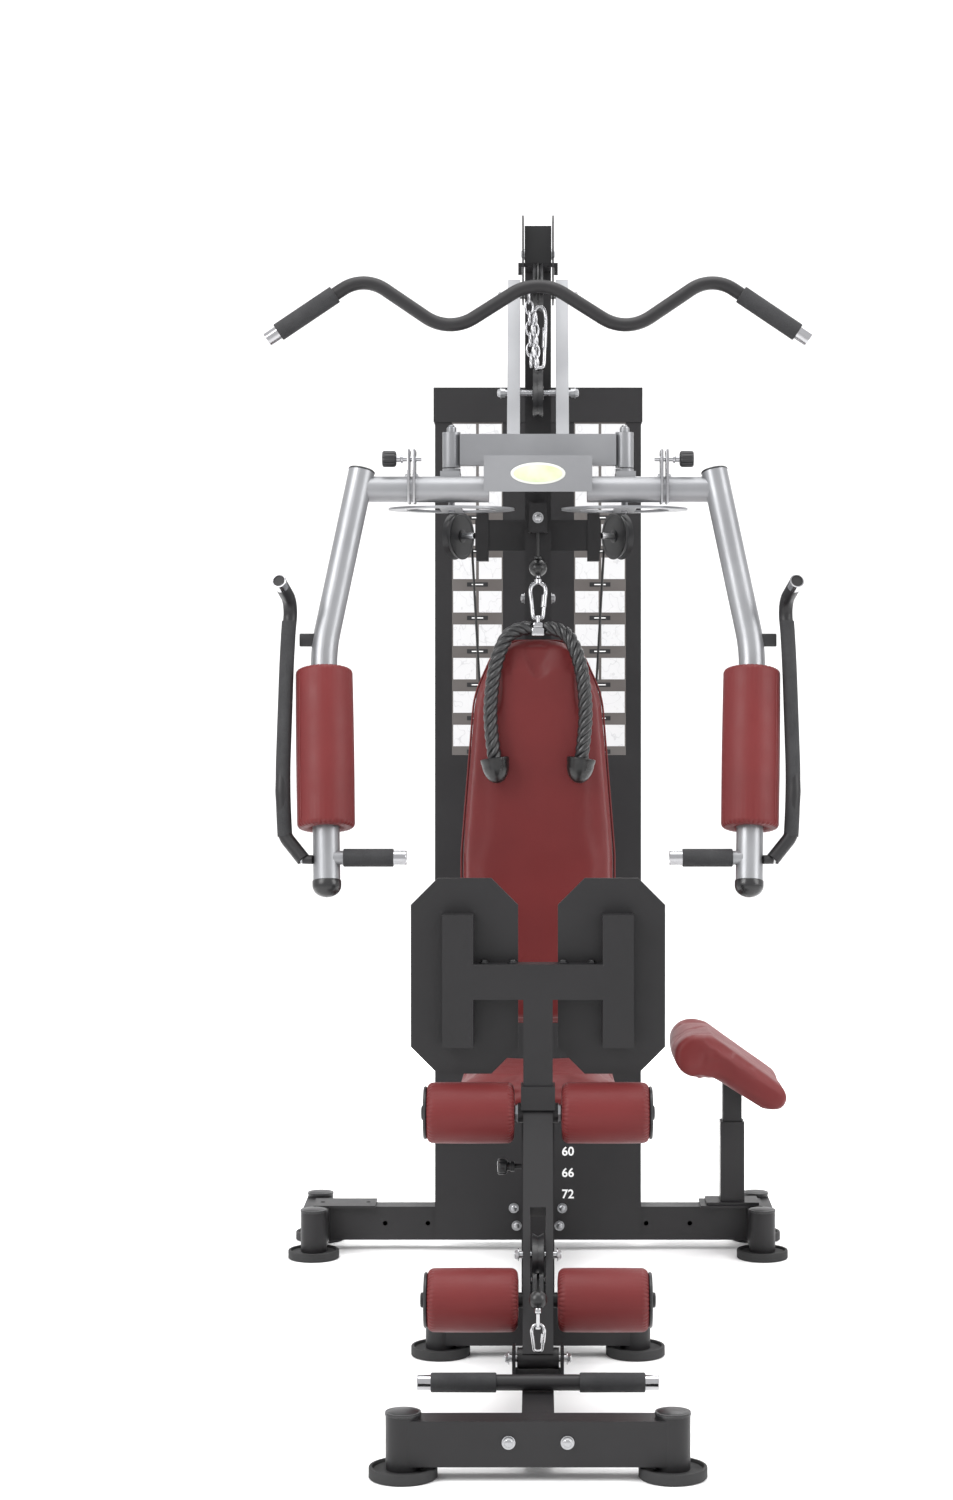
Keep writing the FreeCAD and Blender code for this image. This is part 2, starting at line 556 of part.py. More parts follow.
for side, hand in ((-1, "left"), (1, "right")):
    inner = (side * size("fly_inner"), -size("fly_reach"), size("fly_high"))
    outer = (side * size("fly_outer"), -size("fly_reach"), size("fly_high"))
    top = (side * size("fly_outer"), -size("fly_reach"), size("fly_high") + 34)
    knee = (side * size("fly_knee"), -size("fly_knee_reach"), size("fly_knee_high"))
    end = (side * size("fly_end"), -size("fly_end_reach"), size("fly_end_high"))
    pivot = Vector(side * size("hub_half"), -size("yoke_reach"), 0)
    arm = pipe([top, knee, end], [300], size("fly_dia"))
    arm = arm.fuse(straight(inner, outer, size("fly_dia")))
    lug = Part.makeBox(36, size("fly_reach - yoke_reach") + 8, 18,
                       Vector(pivot.x - 18, -size("fly_reach"), lug_low))
    foot = size("yoke_low") - 6
    collar = Part.makeCylinder(17, foot - lug_low, Vector(pivot.x, pivot.y, lug_low))
    pin_low = size("fly_high - fly_dia / 2") - 14
    pin = Part.makeCylinder(size("axle_dia / 2"), size("yoke_low + yoke_tall") + 12 - pin_low,
                            Vector(pivot.x, pivot.y, pin_low))
    head = Part.makeCylinder(9, 7, Vector(pivot.x, pivot.y, size("yoke_low + yoke_tall") + 5))
    arm = arm.fuse([lug, collar, pin, head])
    grip_y, grip_z, pin_z = -size("grip_reach"), size("grip_high"), size("fly_pin_high")
    grip_start = (side * (size("fly_end") - 12), grip_y, grip_z)
    grip_end = (side * 234, grip_y, grip_z)
    arm = arm.fuse(straight(grip_start, grip_end, size("bar_dia")))
    for near in (227, 237):
        clamp = Part.makeBox(4, 56, 98, Vector(side * near - 2, -size("fly_reach") - 28, 1536))
        arm = arm.fuse(clamp)
    arm = arm.cut(straight((side * 200, -size("fly_reach"), pin_z), (side * 250, -size("fly_reach"), pin_z),
                           10.2))
    shaped("fly_arm_" + hand, arm.removeSplitter())
    pad_line = (along(knee, end, 40), along(knee, end, 40 + size("pad_long")))
    pad = straight(tuple(pad_line[0]), tuple(pad_line[1]), size("pad_dia"))
    shaped("arm_pad_" + hand, pad.cut(straight(knee, end, size("fly_dia") + 0.4)))
    heading = (Vector(*end) - Vector(*knee)).normalize()
    dome = Part.makeSphere(25, Vector(*end), heading * -1, -90, 0, 360)
    up = (Vector(*top) - Vector(*knee)).normalize()
    cap = Part.makeCylinder(25, 3, Vector(*top), up)
    foam = straight((side * 344, grip_y, grip_z), (side * 256, grip_y, grip_z), size("grip_dia"))
    foam = foam.cut(straight((side * 350, grip_y, grip_z), (side * 250, grip_y, grip_z), size("bar_dia") + 0.2))
    shaped("arm_grips_" + hand, Part.makeCompound([dome, cap, foam]))
    spots = [(416, -885, 896), (450, -870, 936), (456, -858, 1015), (453, -792, 1267), (447, -768, 1352),
             (462, -852, 1390)]
    handle = pipe([(side * a, b, c) for a, b, c in spots], [30, 60, 200, 36], size("handle_dia"))
    tie = straight((side * 399, -889, 896), (side * 416, -885, 896), 16)
    strap = Part.makeBox(46, 6, 22, Vector(side * 410 - 23, -778, 1274))
    handle = handle.fuse([tie, strap]).cut(pipe([top, knee, end], [300], size("fly_dia") + 0.2))
    shaped("outer_handle_" + hand, max(handle.Solids, key=lambda solid: solid.Volume))
    knob = straight((side * 214, -size("fly_reach"), pin_z), (side * 262, -size("fly_reach"), pin_z), 10)
    knob = knob.fuse(straight((side * 260, -size("fly_reach"), pin_z),
                              (side * 286, -size("fly_reach"), pin_z), 28))
    shaped("fly_knob_" + hand, knob)

press_pins = [rod("x", ["-66", "-upright_reach", "pivot_high"], "axle_dia", "132"),
              rod("x", ["-66", "-press_wheel_reach", "press_wheel_high"], "axle_dia", "132")]
for spot in ("-70", "62"):
    press_pins[0] = joined([press_pins[0], rod("x", [spot, "-upright_reach", "pivot_high"],
                                               "bolt_head", "8")])
    press_pins[1] = joined([press_pins[1], rod("x", [spot, "-press_wheel_reach", "press_wheel_high"],
                                               "bolt_head", "8")])
group("press_axles", press_pins)

# ---- cable wheels ----
fly_turn = 30
fly_spot = (size("fly_wheel_half"), -size("fly_wheel_reach"), size("fly_wheel_high"))
shaped("wheel_press", wheel((0, -size("press_wheel_reach"), size("press_wheel_high"))))
shaped("wheel_lat", wheel((0, -size("lat_reach"), size("lat_high"))))
shaped("wheel_rear", wheel((0, size("rear_wheel_back"), size("lat_high"))))
shaped("wheel_low", wheel((0, -size("low_wheel_reach"), size("low_wheel_high"))))
shaped("wheel_fly_left", wheel(mirrored(fly_spot), -fly_turn))
shaped("wheel_fly_right", wheel(fly_spot, fly_turn))

# ---- back and seat ----
back_corners = [("-back_half", "back_low"), ("back_half", "back_low"), ("back_half", "back_waist"),
                ("back_top_half", "back_shoulder"), ("-back_top_half", "back_shoulder"),
                ("-back_half", "back_waist")]
crown_arc = (3, "(back_top_half ^ 2 + (back_top - back_shoulder) ^ 2) / (2 * (back_top - back_shoulder))", 1)
back_pad = sketch_body("backrest_pad", "XZ_Plane", back_corners, "back_thick", (),
                       ("0", "-back_front + back_thick / 2", "0"), crown_arc)
subparts.append(back_pad)
board_face = "-back_front + back_thick + 0.3"
board = block(("-100", "100"), (board_face, board_face + " + board_thick"),
              ("back_low + 30", "back_shoulder + 20"))
stays = [block(("-20", "20"), (board_face + " + board_thick", upright[0] + " - 0.2"),
               ("%d" % low, "%d" % (low + 60))) for low in (660, 1060)]
piece("backrest_board", [board] + stays)
seat_corners = [("-seat_half", "-seat_front"), ("seat_half", "-seat_front"),
                ("seat_half", "-seat_back"), ("-seat_half", "-seat_back")]
seat_pad = sketch_body("seat_pad", "XY_Plane", seat_corners, "seat_thick", (),
                       ("0", "0", "seat_top - seat_thick / 2"))
subparts.append(seat_pad)
seat_under = "(seat_top - seat_thick)"
post_half = "(tube_wide / 2)"
seat_board = block(("-100", "100"), ("-seat_front + 40", "-seat_back - 40"),
                   (seat_under + " - 10.3", seat_under + " - 0.3"))
seat_stem = less([block(("-" + post_half, post_half),
                        ("-sleeve_reach - " + post_half, "-sleeve_reach + " + post_half),
                        (seat_under + " - seat_drop", seat_under + " - 10"))],
                 [block(("-%s + tube_wall" % post_half, post_half + " - tube_wall"),
                        ("-sleeve_reach - %s + tube_wall" % post_half,
                         "-sleeve_reach + %s - tube_wall" % post_half),
                        (seat_under + " - seat_drop - 1", seat_under + " - 14"))])
piece("seat_post", [seat_board, seat_stem])
sleeve_half = "(%s + easy_gap + sleeve_wall)" % post_half
sleeve_hole = "(%s + easy_gap)" % post_half
beam_high = ("sleeve_top - 55", "sleeve_top - 5")
stop_face = "-lever_top_reach + bush_dia / 2 + 2"
sleeve_box = block(("-" + sleeve_half, sleeve_half),
                   ("-sleeve_reach - " + sleeve_half, "-sleeve_reach + " + sleeve_half),
                   (base_top + " + 0.2", "sleeve_top"))
beam = block(("-%s" % half_tube, half_tube), (stop_face + " + 6", "-sleeve_reach - %s + 1" % sleeve_half),
             beam_high)
stop_post = block(("-20", "20"), (stop_face, stop_face + " + 40"),
                  ("sleeve_top - 55", "lever_top_high + 5"))
sleeve_bore = block(("-" + sleeve_hole, sleeve_hole),
                    ("-sleeve_reach - " + sleeve_hole, "-sleeve_reach + " + sleeve_hole),
                    (base_top + " + 5", "sleeve_top + 5"))
piece("seat_sleeve", [sleeve_box, beam, stop_post],
      [sleeve_bore, rod("x", ["-60", "-sleeve_reach", "knob_high"], "10.6", "40")])
piece("seat_knob", [rod("x", ["-52", "-sleeve_reach", "knob_high"], "10", "26.5"),
                    rod("x", ["-74", "-sleeve_reach", "knob_high"], "28", "24")])

# ---- leg station ----
low_pivot = Vector(0, -size("lever_pivot_reach"), size("lever_pivot_high"))
top_pivot = Vector(0, -size("lever_top_reach"), size("lever_top_high"))
lean = (top_pivot - low_pivot)
lean_length = lean.Length
lean_angle = math.degrees(math.atan2(lean.y, lean.z))


def on_lever(distance):
    return low_pivot + lean * (distance / lean_length)


def cross_bar(spot, dia, half):
    return Part.makeCylinder(dia / 2, 2 * half, Vector(-half, spot.y, spot.z), Vector(1, 0, 0))


lever_tube = Part.makeBox(50, size("lever_deep"), lean_length, Vector(-25, -size("lever_deep / 2"), 0))
wheel_distance = 176
roller_distance = (size("roller_low_high") - low_pivot.z) / lean.z * lean_length
slot_box = Part.makeBox(26, 60, 150, Vector(-13, -30, wheel_distance - 75))
lever = lever_tube.cut(slot_box)
lever.rotate(Vector(0, 0, 0), Vector(1, 0, 0), -lean_angle)
lever.translate(low_pivot)
bush_half = size("bush_long / 2")
lever = lever.fuse([cross_bar(low_pivot, size("bush_dia"), bush_half),
                    cross_bar(top_pivot, size("bush_dia"), bush_half)])
socket = Part.makeBox(58, 50, 40, Vector(-29, top_pivot.y - 25, top_pivot.z + 8))
column = Part.makeBox(50, 40, 225, Vector(-25, top_pivot.y - 20, top_pivot.z + 10))
cross_tube = Part.makeBox(222, 40, 60, Vector(-111, top_pivot.y - 20, size("cross_tube_low")))
uprights = [Part.makeBox(53, 40, 226, Vector(start, top_pivot.y - 20, size("foot_upright_low")))
            for start in (-163, 110)]
lever = lever.fuse([socket, column, cross_tube] + uprights)
lever = lever.cut(cross_bar(low_pivot, size("axle_dia + 2 * run_gap"), 60))
lever = lever.cut(cross_bar(top_pivot, size("bar_dia") + 0.2, 60))
lever = lever.cut(cross_bar(on_lever(roller_distance), size("bar_dia") + 0.2, 60))
lever = lever.cut(cross_bar(on_lever(wheel_distance), size("axle_dia") + 0.2, 60))
shaped("leg_lever", lever.removeSplitter())
lever_wheel_spot = on_lever(wheel_distance)
shaped("wheel_lever", wheel(tuple(lever_wheel_spot), 0, "wheel_dia - 22"))
foot_plates = []
for side in (-1, 1):
    start = "plate_half_gap / 2" if side > 0 else "-plate_half_gap / 2 - foot_wide"
    left, right = start, start + " + foot_wide"
    low, high = "foot_mid - foot_tall / 2", "foot_mid + foot_tall / 2"
    corners = [(left + " + foot_corner", low), (right + " - foot_corner", low),
               (right, low + " + foot_corner"), (right, high + " - foot_corner"),
               (right + " - foot_corner", high), (left + " + foot_corner", high),
               (left, high + " - foot_corner"), (left, low + " + foot_corner")]
    foot_plates.append(sketch_body("foot_plate", "XZ_Plane", corners, "foot_thick", (),
                                   ("0", "-lever_top_reach + 20.2 + foot_thick / 2", "0")))
group("foot_plates", foot_plates)


def roller_pair(spot, gap):
    pair = []
    for side in (-1, 1):
        start = gap if side > 0 else -gap - size("roller_long")
        drum = Part.makeCylinder(size("roller_dia / 2"), size("roller_long"),
                                 Vector(start, spot.y, spot.z), Vector(1, 0, 0))
        pair.append(drum.cut(cross_bar(spot, size("bar_dia + 2 * run_gap"), 260)))
    return Part.makeCompound(pair)


shaped("upper_rollers", roller_pair(top_pivot, size("roller_gap")))
shaped("lower_rollers", roller_pair(on_lever(roller_distance), size("lower_gap")))
ball_spot = Vector(0, low_pivot.y - 25, low_pivot.z + 100)
ball = Part.makeSphere(15, ball_spot)
clip = straight(tuple(ball_spot + Vector(0, -6, -12)), tuple(ball_spot + Vector(0, -6, -84)), 12)
pull_end = lever_wheel_spot - Vector(0, 0, size("(wheel_dia - 22) / 2") - 1.8)
pull = straight(tuple(ball_spot), tuple(pull_end), size("cable_dia"))
lever_axles = [cross_bar(top_pivot, size("bar_dia"), 200),
               cross_bar(on_lever(roller_distance), size("bar_dia"), 194),
               cross_bar(lever_wheel_spot, size("axle_dia"), 32), ball.fuse([clip, pull])]
shaped("lever_hardware", Part.makeCompound(lever_axles))

# ---- preacher bench ----
bench = size("bench_out")
roll = Vector(328, 0, 425)
tail = Vector(492, 0, 333)
slope = (tail - roll).normalize()
lift = Vector(-slope.z, 0, slope.x)
near, deep = -53, 296
pad_corners = [roll + lift * 46, tail + lift * 27, tail - lift * 27, roll - lift * 14]
pad_face = Part.Face(Part.makePolygon([Vector(c.x, near, c.z) for c in pad_corners + pad_corners[:1]]))
bench_pad = pad_face.extrude(Vector(0, deep, 0))
for spot, radius in ((roll, 47), (tail, 26.9)):
    bench_pad = bench_pad.fuse(Part.makeCylinder(radius, deep, Vector(spot.x, near, spot.z), Vector(0, 1, 0)))
shaped("bench_pad", bench_pad.removeSplitter())
plate_spots = [roll + slope * 48 - lift * 16, tail - lift * 28, tail - lift * 33, roll + slope * 48 - lift * 22]
plate_face = Part.Face(Part.makePolygon([Vector(c.x, 37, c.z) for c in plate_spots + plate_spots[:1]]))
bench_plate = plate_face.extrude(Vector(0, 120, 0))
bench_post = Part.makeBox(40, 40, 220, Vector(bench - 20, 77, 135))
above = Part.Face(Part.makePolygon([Vector(c.x, 0, c.z) for c in
                                    (plate_spots[0] + lift * 1 - slope * 60, plate_spots[1] + lift * 1 + slope * 60,
                                     plate_spots[1] + lift * 90 + slope * 60,
                                     plate_spots[0] + lift * 90 - slope * 60,
                                     plate_spots[0] + lift * 1 - slope * 60)]))
bench_post = bench_post.cut(above.extrude(Vector(0, 250, 0)))
bench_post = bench_post.fuse(bench_plate).cut(bench_pad)
shaped("bench_post", max(bench_post.Solids, key=lambda solid: solid.Volume))
bench_x = "bench_out"
piece("bench_sleeve", [block((bench_x + " - 25", bench_x + " + 25"), ("72", "122"),
                             (base_top + " + 5.2", "bench_sleeve_top")),
                       block((bench_x + " - 55", bench_x + " + 55"), ("60", "134"),
                             (base_top + " + 5.2", base_top + " + 11"))],
      [block((bench_x + " - 21", bench_x + " + 21"), ("76", "118"),
             (base_top + " + 12", "bench_sleeve_top + 5"))])

# ---- bars, chain, rope and cables ----
reach = -size("lat_bar_reach")
half_bar = [(-498, reach, 1838), (-321, reach, 1957), (-163, reach, 1850)]
lat_points = half_bar + [(0, reach, 1953)] + [mirrored(spot) for spot in reversed(half_bar)]
shaped("lat_bar", pipe(lat_points, [70, 80, 90, 80, 70], size("bar_dia")))
chain = straight((-17, reach, 1916), (-12, reach, 1790), 12)
chain = chain.fuse(straight((-12, reach, 1790), (3, reach, 1790), 12))
shaped("lat_chain", chain.fuse(straight((3, reach, 1784), (2, reach + 21, 1902), 13)))
low_bar_high = size("base_low + tube_tall + bar_dia / 2") + 3
shaped("low_bar", straight((-size("low_bar_half"), -size("low_bar_reach"), low_bar_high),
                           (size("low_bar_half"), -size("low_bar_reach"), low_bar_high), size("grip_dia")))
wrap = size("wheel_dia / 2") - 1.5
lat_front = -size("lat_reach") - wrap
lat_over = size("lat_high") + wrap
stack_line = size("stack_back")
cable_dia = size("cable_dia")
lat_cable = pipe([(0, lat_front, 1912), (0, lat_front, lat_over), (0, stack_line, lat_over),
                  (0, stack_line, 1750)], [wrap, wrap], cable_dia)
cos_turn, sin_turn = math.cos(math.radians(fly_turn)), math.sin(math.radians(fly_turn))
fly_cables = []
for side in (-1, 1):
    centre = Vector(side * fly_spot[0], fly_spot[1], fly_spot[2])
    out = Vector(side * sin_turn, -cos_turn, 0)
    fly_top = centre + Vector(0, 0, wrap)
    back = centre - out * wrap
    corner = fly_top - out * wrap
    low_end = back + Vector(-side * 17, 0, -262)
    fly_cables.append(pipe([tuple(fly_top + out * 182), tuple(corner), tuple(low_end)],
                           [wrap - 2], cable_dia))
mid_cable = straight((0, -524, 1440), (0, -524, 1489), cable_dia)
low_over = size("low_wheel_high") + wrap
low_back = -size("low_wheel_reach") + wrap
low_cable = pipe([(0, -1232, low_over), (0, low_back, low_over), (0, low_back, 98)], [wrap], cable_dia)
shaped("cables", Part.makeCompound([lat_cable, mid_cable, low_cable] + fly_cables))
stem_top = size("stack_low + plate_pitch * 12 + 70")
shaped("stack_cable", straight((0, stack_line, stem_top + 0.3), (0, stack_line, 1749.7), cable_dia))

rope_dia = 27
rope_points = [(-14.2, -562, 1308), (-50, -568, 1308), (-76, -592, 1258), (-88, -592, 1192),
               (-90, -594, 1124), (-81, -598, 1062)]


def rope_radii(points):
    """Each bend takes 0.45 of its shorter run."""
    radii = []
    for index in range(1, len(points) - 1):
        spots = [Vector(*points[step]) for step in (index - 1, index, index + 1)]
        first, second = spots[1] - spots[0], spots[2] - spots[1]
        turn = first.getAngle(second)
        radii.append(0.45 * min(first.Length, second.Length) / math.tan(turn / 2))
    return radii


radii = rope_radii(rope_points)
print("rope bend radii", [round(radius) for radius in radii])
rope_ends = []
for side, hand in ((1, "left"), (-1, "right")):
    spots = [(side * a, b, c) for a, b, c in rope_points]
    shaped("rope_" + hand, pipe(spots, radii, rope_dia))
    last, before = Vector(*spots[-1]), Vector(*spots[-2])
    heading = (last - before).normalize()
    rope_ends.append(Part.makeCylinder(19, 36, last + heading * 0.3, heading))
shaped("rope_ends", Part.makeCompound(rope_ends))
clamp = Part.makeBox(23, 30, 30, Vector(-11.5, -577, 1293))
ring = straight((0, -556, 1322), (0, -532, 1392), 14)
stop_ball = Part.makeSphere(17, Vector(0, -524, 1422))
rope_clip = clamp.fuse([ring, stop_ball, straight((0, -532, 1388), (0, -526, 1412), 10)])
shaped("rope_clip", rope_clip)

# ---- axles and bolts that stay with the frame ----
bolts = [rod("x", ["-34", "-lat_reach", "lat_high"], "axle_dia", "68"),
         rod("x", ["-26", "rear_wheel_back", "lat_high"], "axle_dia", "52"),
         rod("x", ["-22", "-low_wheel_reach", "low_wheel_high"], "axle_dia", "44"),
         rod("x", ["-47", "-lever_pivot_reach", "lever_pivot_high"], "axle_dia", "94")]
for side in (-1, 1):
    bolts.append(rod("y", ["%d * 45" % side, "-front_reach - %s - head_tall" % half_tube, "60"],
                     "bolt_head", "head_tall - 0.2"))
    for place_x, high in ((51, 90), (45, 53)):
        bolts.append(rod("y", ["%d * %d" % (side, place_x), "shroud_front - head_tall", "%d" % high],
                         "bolt_head", "head_tall - 0.2"))
    start = "%s + 0.2" % half_tube if side > 0 else "-%s - 7" % half_tube
    bolts.append(rod("x", [start, "-upright_reach", "side_bolt_high"], "bolt_head", "6.8"))
for side in (-1, 1):
    centre = Vector(side * fly_spot[0], fly_spot[1], fly_spot[2])
    axle_way = Vector(-side * cos_turn, -sin_turn, 0)
    axle = doc.addObject("Part::Feature", "Axle")
    axle.Shape = straight(tuple(centre - axle_way * 13), tuple(centre + axle_way * 37), size("axle_dia"))
    axle.Placement = Placement(Vector(0, size("origin_back"), 0), Rotation())
    bolts.append(axle)
group("frame_bolts", bolts)

# ---- check and write ----
doc.recompute()
failed = [thing.Label for thing in doc.Objects if "Invalid" in thing.State or "Error" in thing.State]
if failed:
    raise RuntimeError("failed objects: %s" % failed)
for thing in subparts:
    if thing.Shape.isNull() or not thing.Shape.isValid():
        raise RuntimeError("bad shape: " + thing.Label)
    thing.Shape.exportStep("parts/%s.step" % thing.Label)
print(len(subparts), "sub-parts written")
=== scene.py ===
# A multi station home gym: painted frame, vinyl pads, rope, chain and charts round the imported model.
import json
import math

import bmesh
import bpy
from mathutils import Matrix, Vector


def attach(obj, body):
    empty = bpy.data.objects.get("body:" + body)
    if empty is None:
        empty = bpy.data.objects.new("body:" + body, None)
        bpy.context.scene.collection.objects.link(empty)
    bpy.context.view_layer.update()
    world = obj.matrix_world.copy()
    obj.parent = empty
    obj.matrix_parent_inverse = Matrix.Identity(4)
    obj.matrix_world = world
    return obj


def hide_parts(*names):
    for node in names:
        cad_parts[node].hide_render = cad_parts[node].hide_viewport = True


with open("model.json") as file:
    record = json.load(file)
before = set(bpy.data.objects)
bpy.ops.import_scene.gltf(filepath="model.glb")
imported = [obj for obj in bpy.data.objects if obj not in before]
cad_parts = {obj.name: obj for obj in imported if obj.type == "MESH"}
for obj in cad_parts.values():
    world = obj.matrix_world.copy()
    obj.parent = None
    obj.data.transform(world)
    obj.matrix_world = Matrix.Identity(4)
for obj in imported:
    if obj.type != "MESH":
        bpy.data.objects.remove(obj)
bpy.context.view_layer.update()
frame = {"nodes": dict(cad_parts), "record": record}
backToOrigin = 0.6895  # from the line through the rear feet to the origin


# everything below is drawn in millimetres from the line through the rear feet
toMetres = Matrix.Translation((0, backToOrigin, 0)) @ Matrix.Scale(0.001, 4)
sides = ((-1, "left"), (1, "right"))
flyArm = {"top": (324, -700, 1596), "knee": (388, -775, 1270), "end": (374, -890, 850)}  # right-hand arm


# camera, floor and lights
def makeCamera():
    view = {"lens": 68.64, "distance": 5.956, "height": 1.278, "shiftX": -0.041, "shiftY": -0.0707}
    data = bpy.data.cameras.new("camera")
    data.lens = view["lens"]
    data.sensor_width = 36
    data.shift_x = view["shiftX"]
    data.shift_y = view["shiftY"]
    data.clip_end = 60
    camera = bpy.data.objects.new("camera", data)
    camera.location = (0, backToOrigin - view["distance"], view["height"])
    camera.rotation_euler = (math.radians(90), 0, 0)
    bpy.context.collection.objects.link(camera)
    bpy.context.scene.camera = camera


def addArea(name, where, aim, size, power):
    data = bpy.data.lights.new(name, "AREA")
    data.shape = "RECTANGLE"
    data.size, data.size_y = size
    data.energy = power
    lamp = bpy.data.objects.new(name, data)
    lamp.location = where
    lamp.rotation_euler = (Vector(aim) - Vector(where)).to_track_quat("-Z", "Y").to_euler()
    bpy.context.collection.objects.link(lamp)


def makeStudio():
    bpy.context.scene.view_settings.view_transform = "Standard"
    size = {"floor": 30.0, "sweep": 2.4, "wallAt": 9.5, "wallHigh": 16.0, "steps": 12}
    # a floor that curves up into a wall, which stands behind every viewpoint
    rows = [(-size["floor"], 0.0)]
    for step in range(size["steps"] + 1):
        turn = math.radians(90 * step / size["steps"])
        rows.append((size["wallAt"] + size["sweep"] * math.sin(turn), size["sweep"] * (1 - math.cos(turn))))
    rows.append((size["wallAt"] + size["sweep"], size["wallHigh"]))
    verts = [(side * size["floor"], y, z) for y, z in rows for side in (-1, 1)]
    faces = [(2 * i, 2 * i + 1, 2 * i + 3, 2 * i + 2) for i in range(len(rows) - 1)]
    mesh = bpy.data.meshes.new("studio_floor")
    mesh.from_pydata(verts, [], faces)
    mesh.polygons.foreach_set("use_smooth", [True] * len(faces))
    floor = bpy.data.objects.new("studio_floor", mesh)
    bpy.context.collection.objects.link(floor)
    paper = bpy.data.materials.new("pale_floor")
    paper.use_nodes = True
    shader = paper.node_tree.nodes["Principled BSDF"]
    shader.inputs["Base Color"].default_value = (0.96, 0.958, 0.957, 1)
    shader.inputs["Roughness"].default_value = 0.6
    shader.inputs["Specular IOR Level"].default_value = 0.25
    mesh.materials.append(paper)
    world = bpy.data.worlds.new("soft_sky")
    world.use_nodes = True
    sky = world.node_tree.nodes["Background"].inputs
    sky["Color"].default_value = (0.95, 0.95, 0.96, 1)
    sky["Strength"].default_value = 1.05
    bpy.context.scene.world = world
    for name, where, aim, wide, power in (
            ("key_left", (-3.2, -2.6, 3.4), (0, 0, 1.0), (2.4, 2.8), 150),
            ("fill_right", (3.4, -1.6, 2.6), (0, 0.2, 1.0), (2.0, 2.6), 80),
            ("top_soft", (0, -0.4, 4.6), (0, 0, 0), (3.2, 3.2), 105),
            ("back_rim", (1.2, 3.4, 3.6), (0, 0.4, 1.0), (2.2, 1.6), 35),
            ("backdrop_wash", (0, 1.6, 3.6), (0, 4.6, 1.4), (4.5, 1.0), 260)):
        addArea(name, where, aim, wide, power)


# materials
def startMaterial(name):
    material = bpy.data.materials.new(name)
    material.use_nodes = True
    nodes = material.node_tree.nodes
    links = material.node_tree.links
    shader = nodes["Principled BSDF"]
    spot = nodes.new("ShaderNodeTexCoord").outputs["Object"]
    return material, nodes, links, shader, spot


def noiseOf(nodes, links, spot, scale, detail=4.0, rough=0.55):
    noise = nodes.new("ShaderNodeTexNoise")
    noise.inputs["Scale"].default_value = scale
    noise.inputs["Detail"].default_value = detail
    noise.inputs["Roughness"].default_value = rough
    links.new(spot, noise.inputs["Vector"])
    return noise.outputs["Fac"]


def rampOf(nodes, links, value, low, high, start=0.35, end=0.65):
    ramp = nodes.new("ShaderNodeValToRGB")
    ramp.color_ramp.elements[0].position = start
    ramp.color_ramp.elements[0].color = (*low, 1)
    ramp.color_ramp.elements[1].position = end
    ramp.color_ramp.elements[1].color = (*high, 1)
    links.new(value, ramp.inputs["Fac"])
    return ramp.outputs["Color"]


def spanOf(nodes, links, value, low, high):
    span = nodes.new("ShaderNodeMapRange")
    span.inputs["From Min"].default_value = 0.3
    span.inputs["From Max"].default_value = 0.7
    span.inputs["To Min"].default_value = low
    span.inputs["To Max"].default_value = high
    links.new(value, span.inputs["Value"])
    return span.outputs["Result"]


def bumpOf(nodes, links, value, strength, distance, before=None):
    bump = nodes.new("ShaderNodeBump")
    bump.inputs["Strength"].default_value = strength
    bump.inputs["Distance"].default_value = distance
    links.new(value, bump.inputs["Height"])
    if before:
        links.new(before, bump.inputs["Normal"])
    return bump.outputs["Normal"]


def finishPaint(name, look):
    # look: dark and light tone, roughness span, fine grain size and height, metal, coat
    material, nodes, links, shader, spot = startMaterial(name)
    broad = noiseOf(nodes, links, spot, look.get("broad", 5))
    links.new(rampOf(nodes, links, broad, look["dark"], look["light"]), shader.inputs["Base Color"])
    smudge = noiseOf(nodes, links, spot, look.get("smudge", 14), 6)
    links.new(spanOf(nodes, links, smudge, *look["rough"]), shader.inputs["Roughness"])
    grain = noiseOf(nodes, links, spot, look["grain"], 3)
    links.new(bumpOf(nodes, links, grain, look["bump"], look["height"]), shader.inputs["Normal"])
    shader.inputs["Metallic"].default_value = look.get("metal", 0)
    shader.inputs["Specular IOR Level"].default_value = look.get("specular", 0.5)
    shader.inputs["Coat Weight"].default_value = look.get("coat", 0)
    shader.inputs["Coat Roughness"].default_value = look.get("coatRough", 0.2)
    return material


def finishVinyl(name, look):
    # leather-like grain from two cell sizes, fine creases and slow changes of tone
    material, nodes, links, shader, spot = startMaterial(name)
    tone = rampOf(nodes, links, noiseOf(nodes, links, spot, 7), look["dark"], look["light"])
    links.new(tone, shader.inputs["Base Color"])
    normal = None
    for scale, strength in ((look["pebble"], 0.32), (look["pebble"] * 2.7, 0.2)):
        cells = nodes.new("ShaderNodeTexVoronoi")
        cells.feature = "SMOOTH_F1"
        cells.inputs["Scale"].default_value = scale
        links.new(spot, cells.inputs["Vector"])
        normal = bumpOf(nodes, links, cells.outputs["Distance"], strength, 0.0004, normal)
    normal = bumpOf(nodes, links, noiseOf(nodes, links, spot, 16, 2), 0.12, 0.004, normal)
    links.new(normal, shader.inputs["Normal"])
    links.new(spanOf(nodes, links, noiseOf(nodes, links, spot, 22), *look["rough"]),
              shader.inputs["Roughness"])
    shader.inputs["Sheen Weight"].default_value = 0.03
    shader.inputs["Specular IOR Level"].default_value = 0.27
    return material


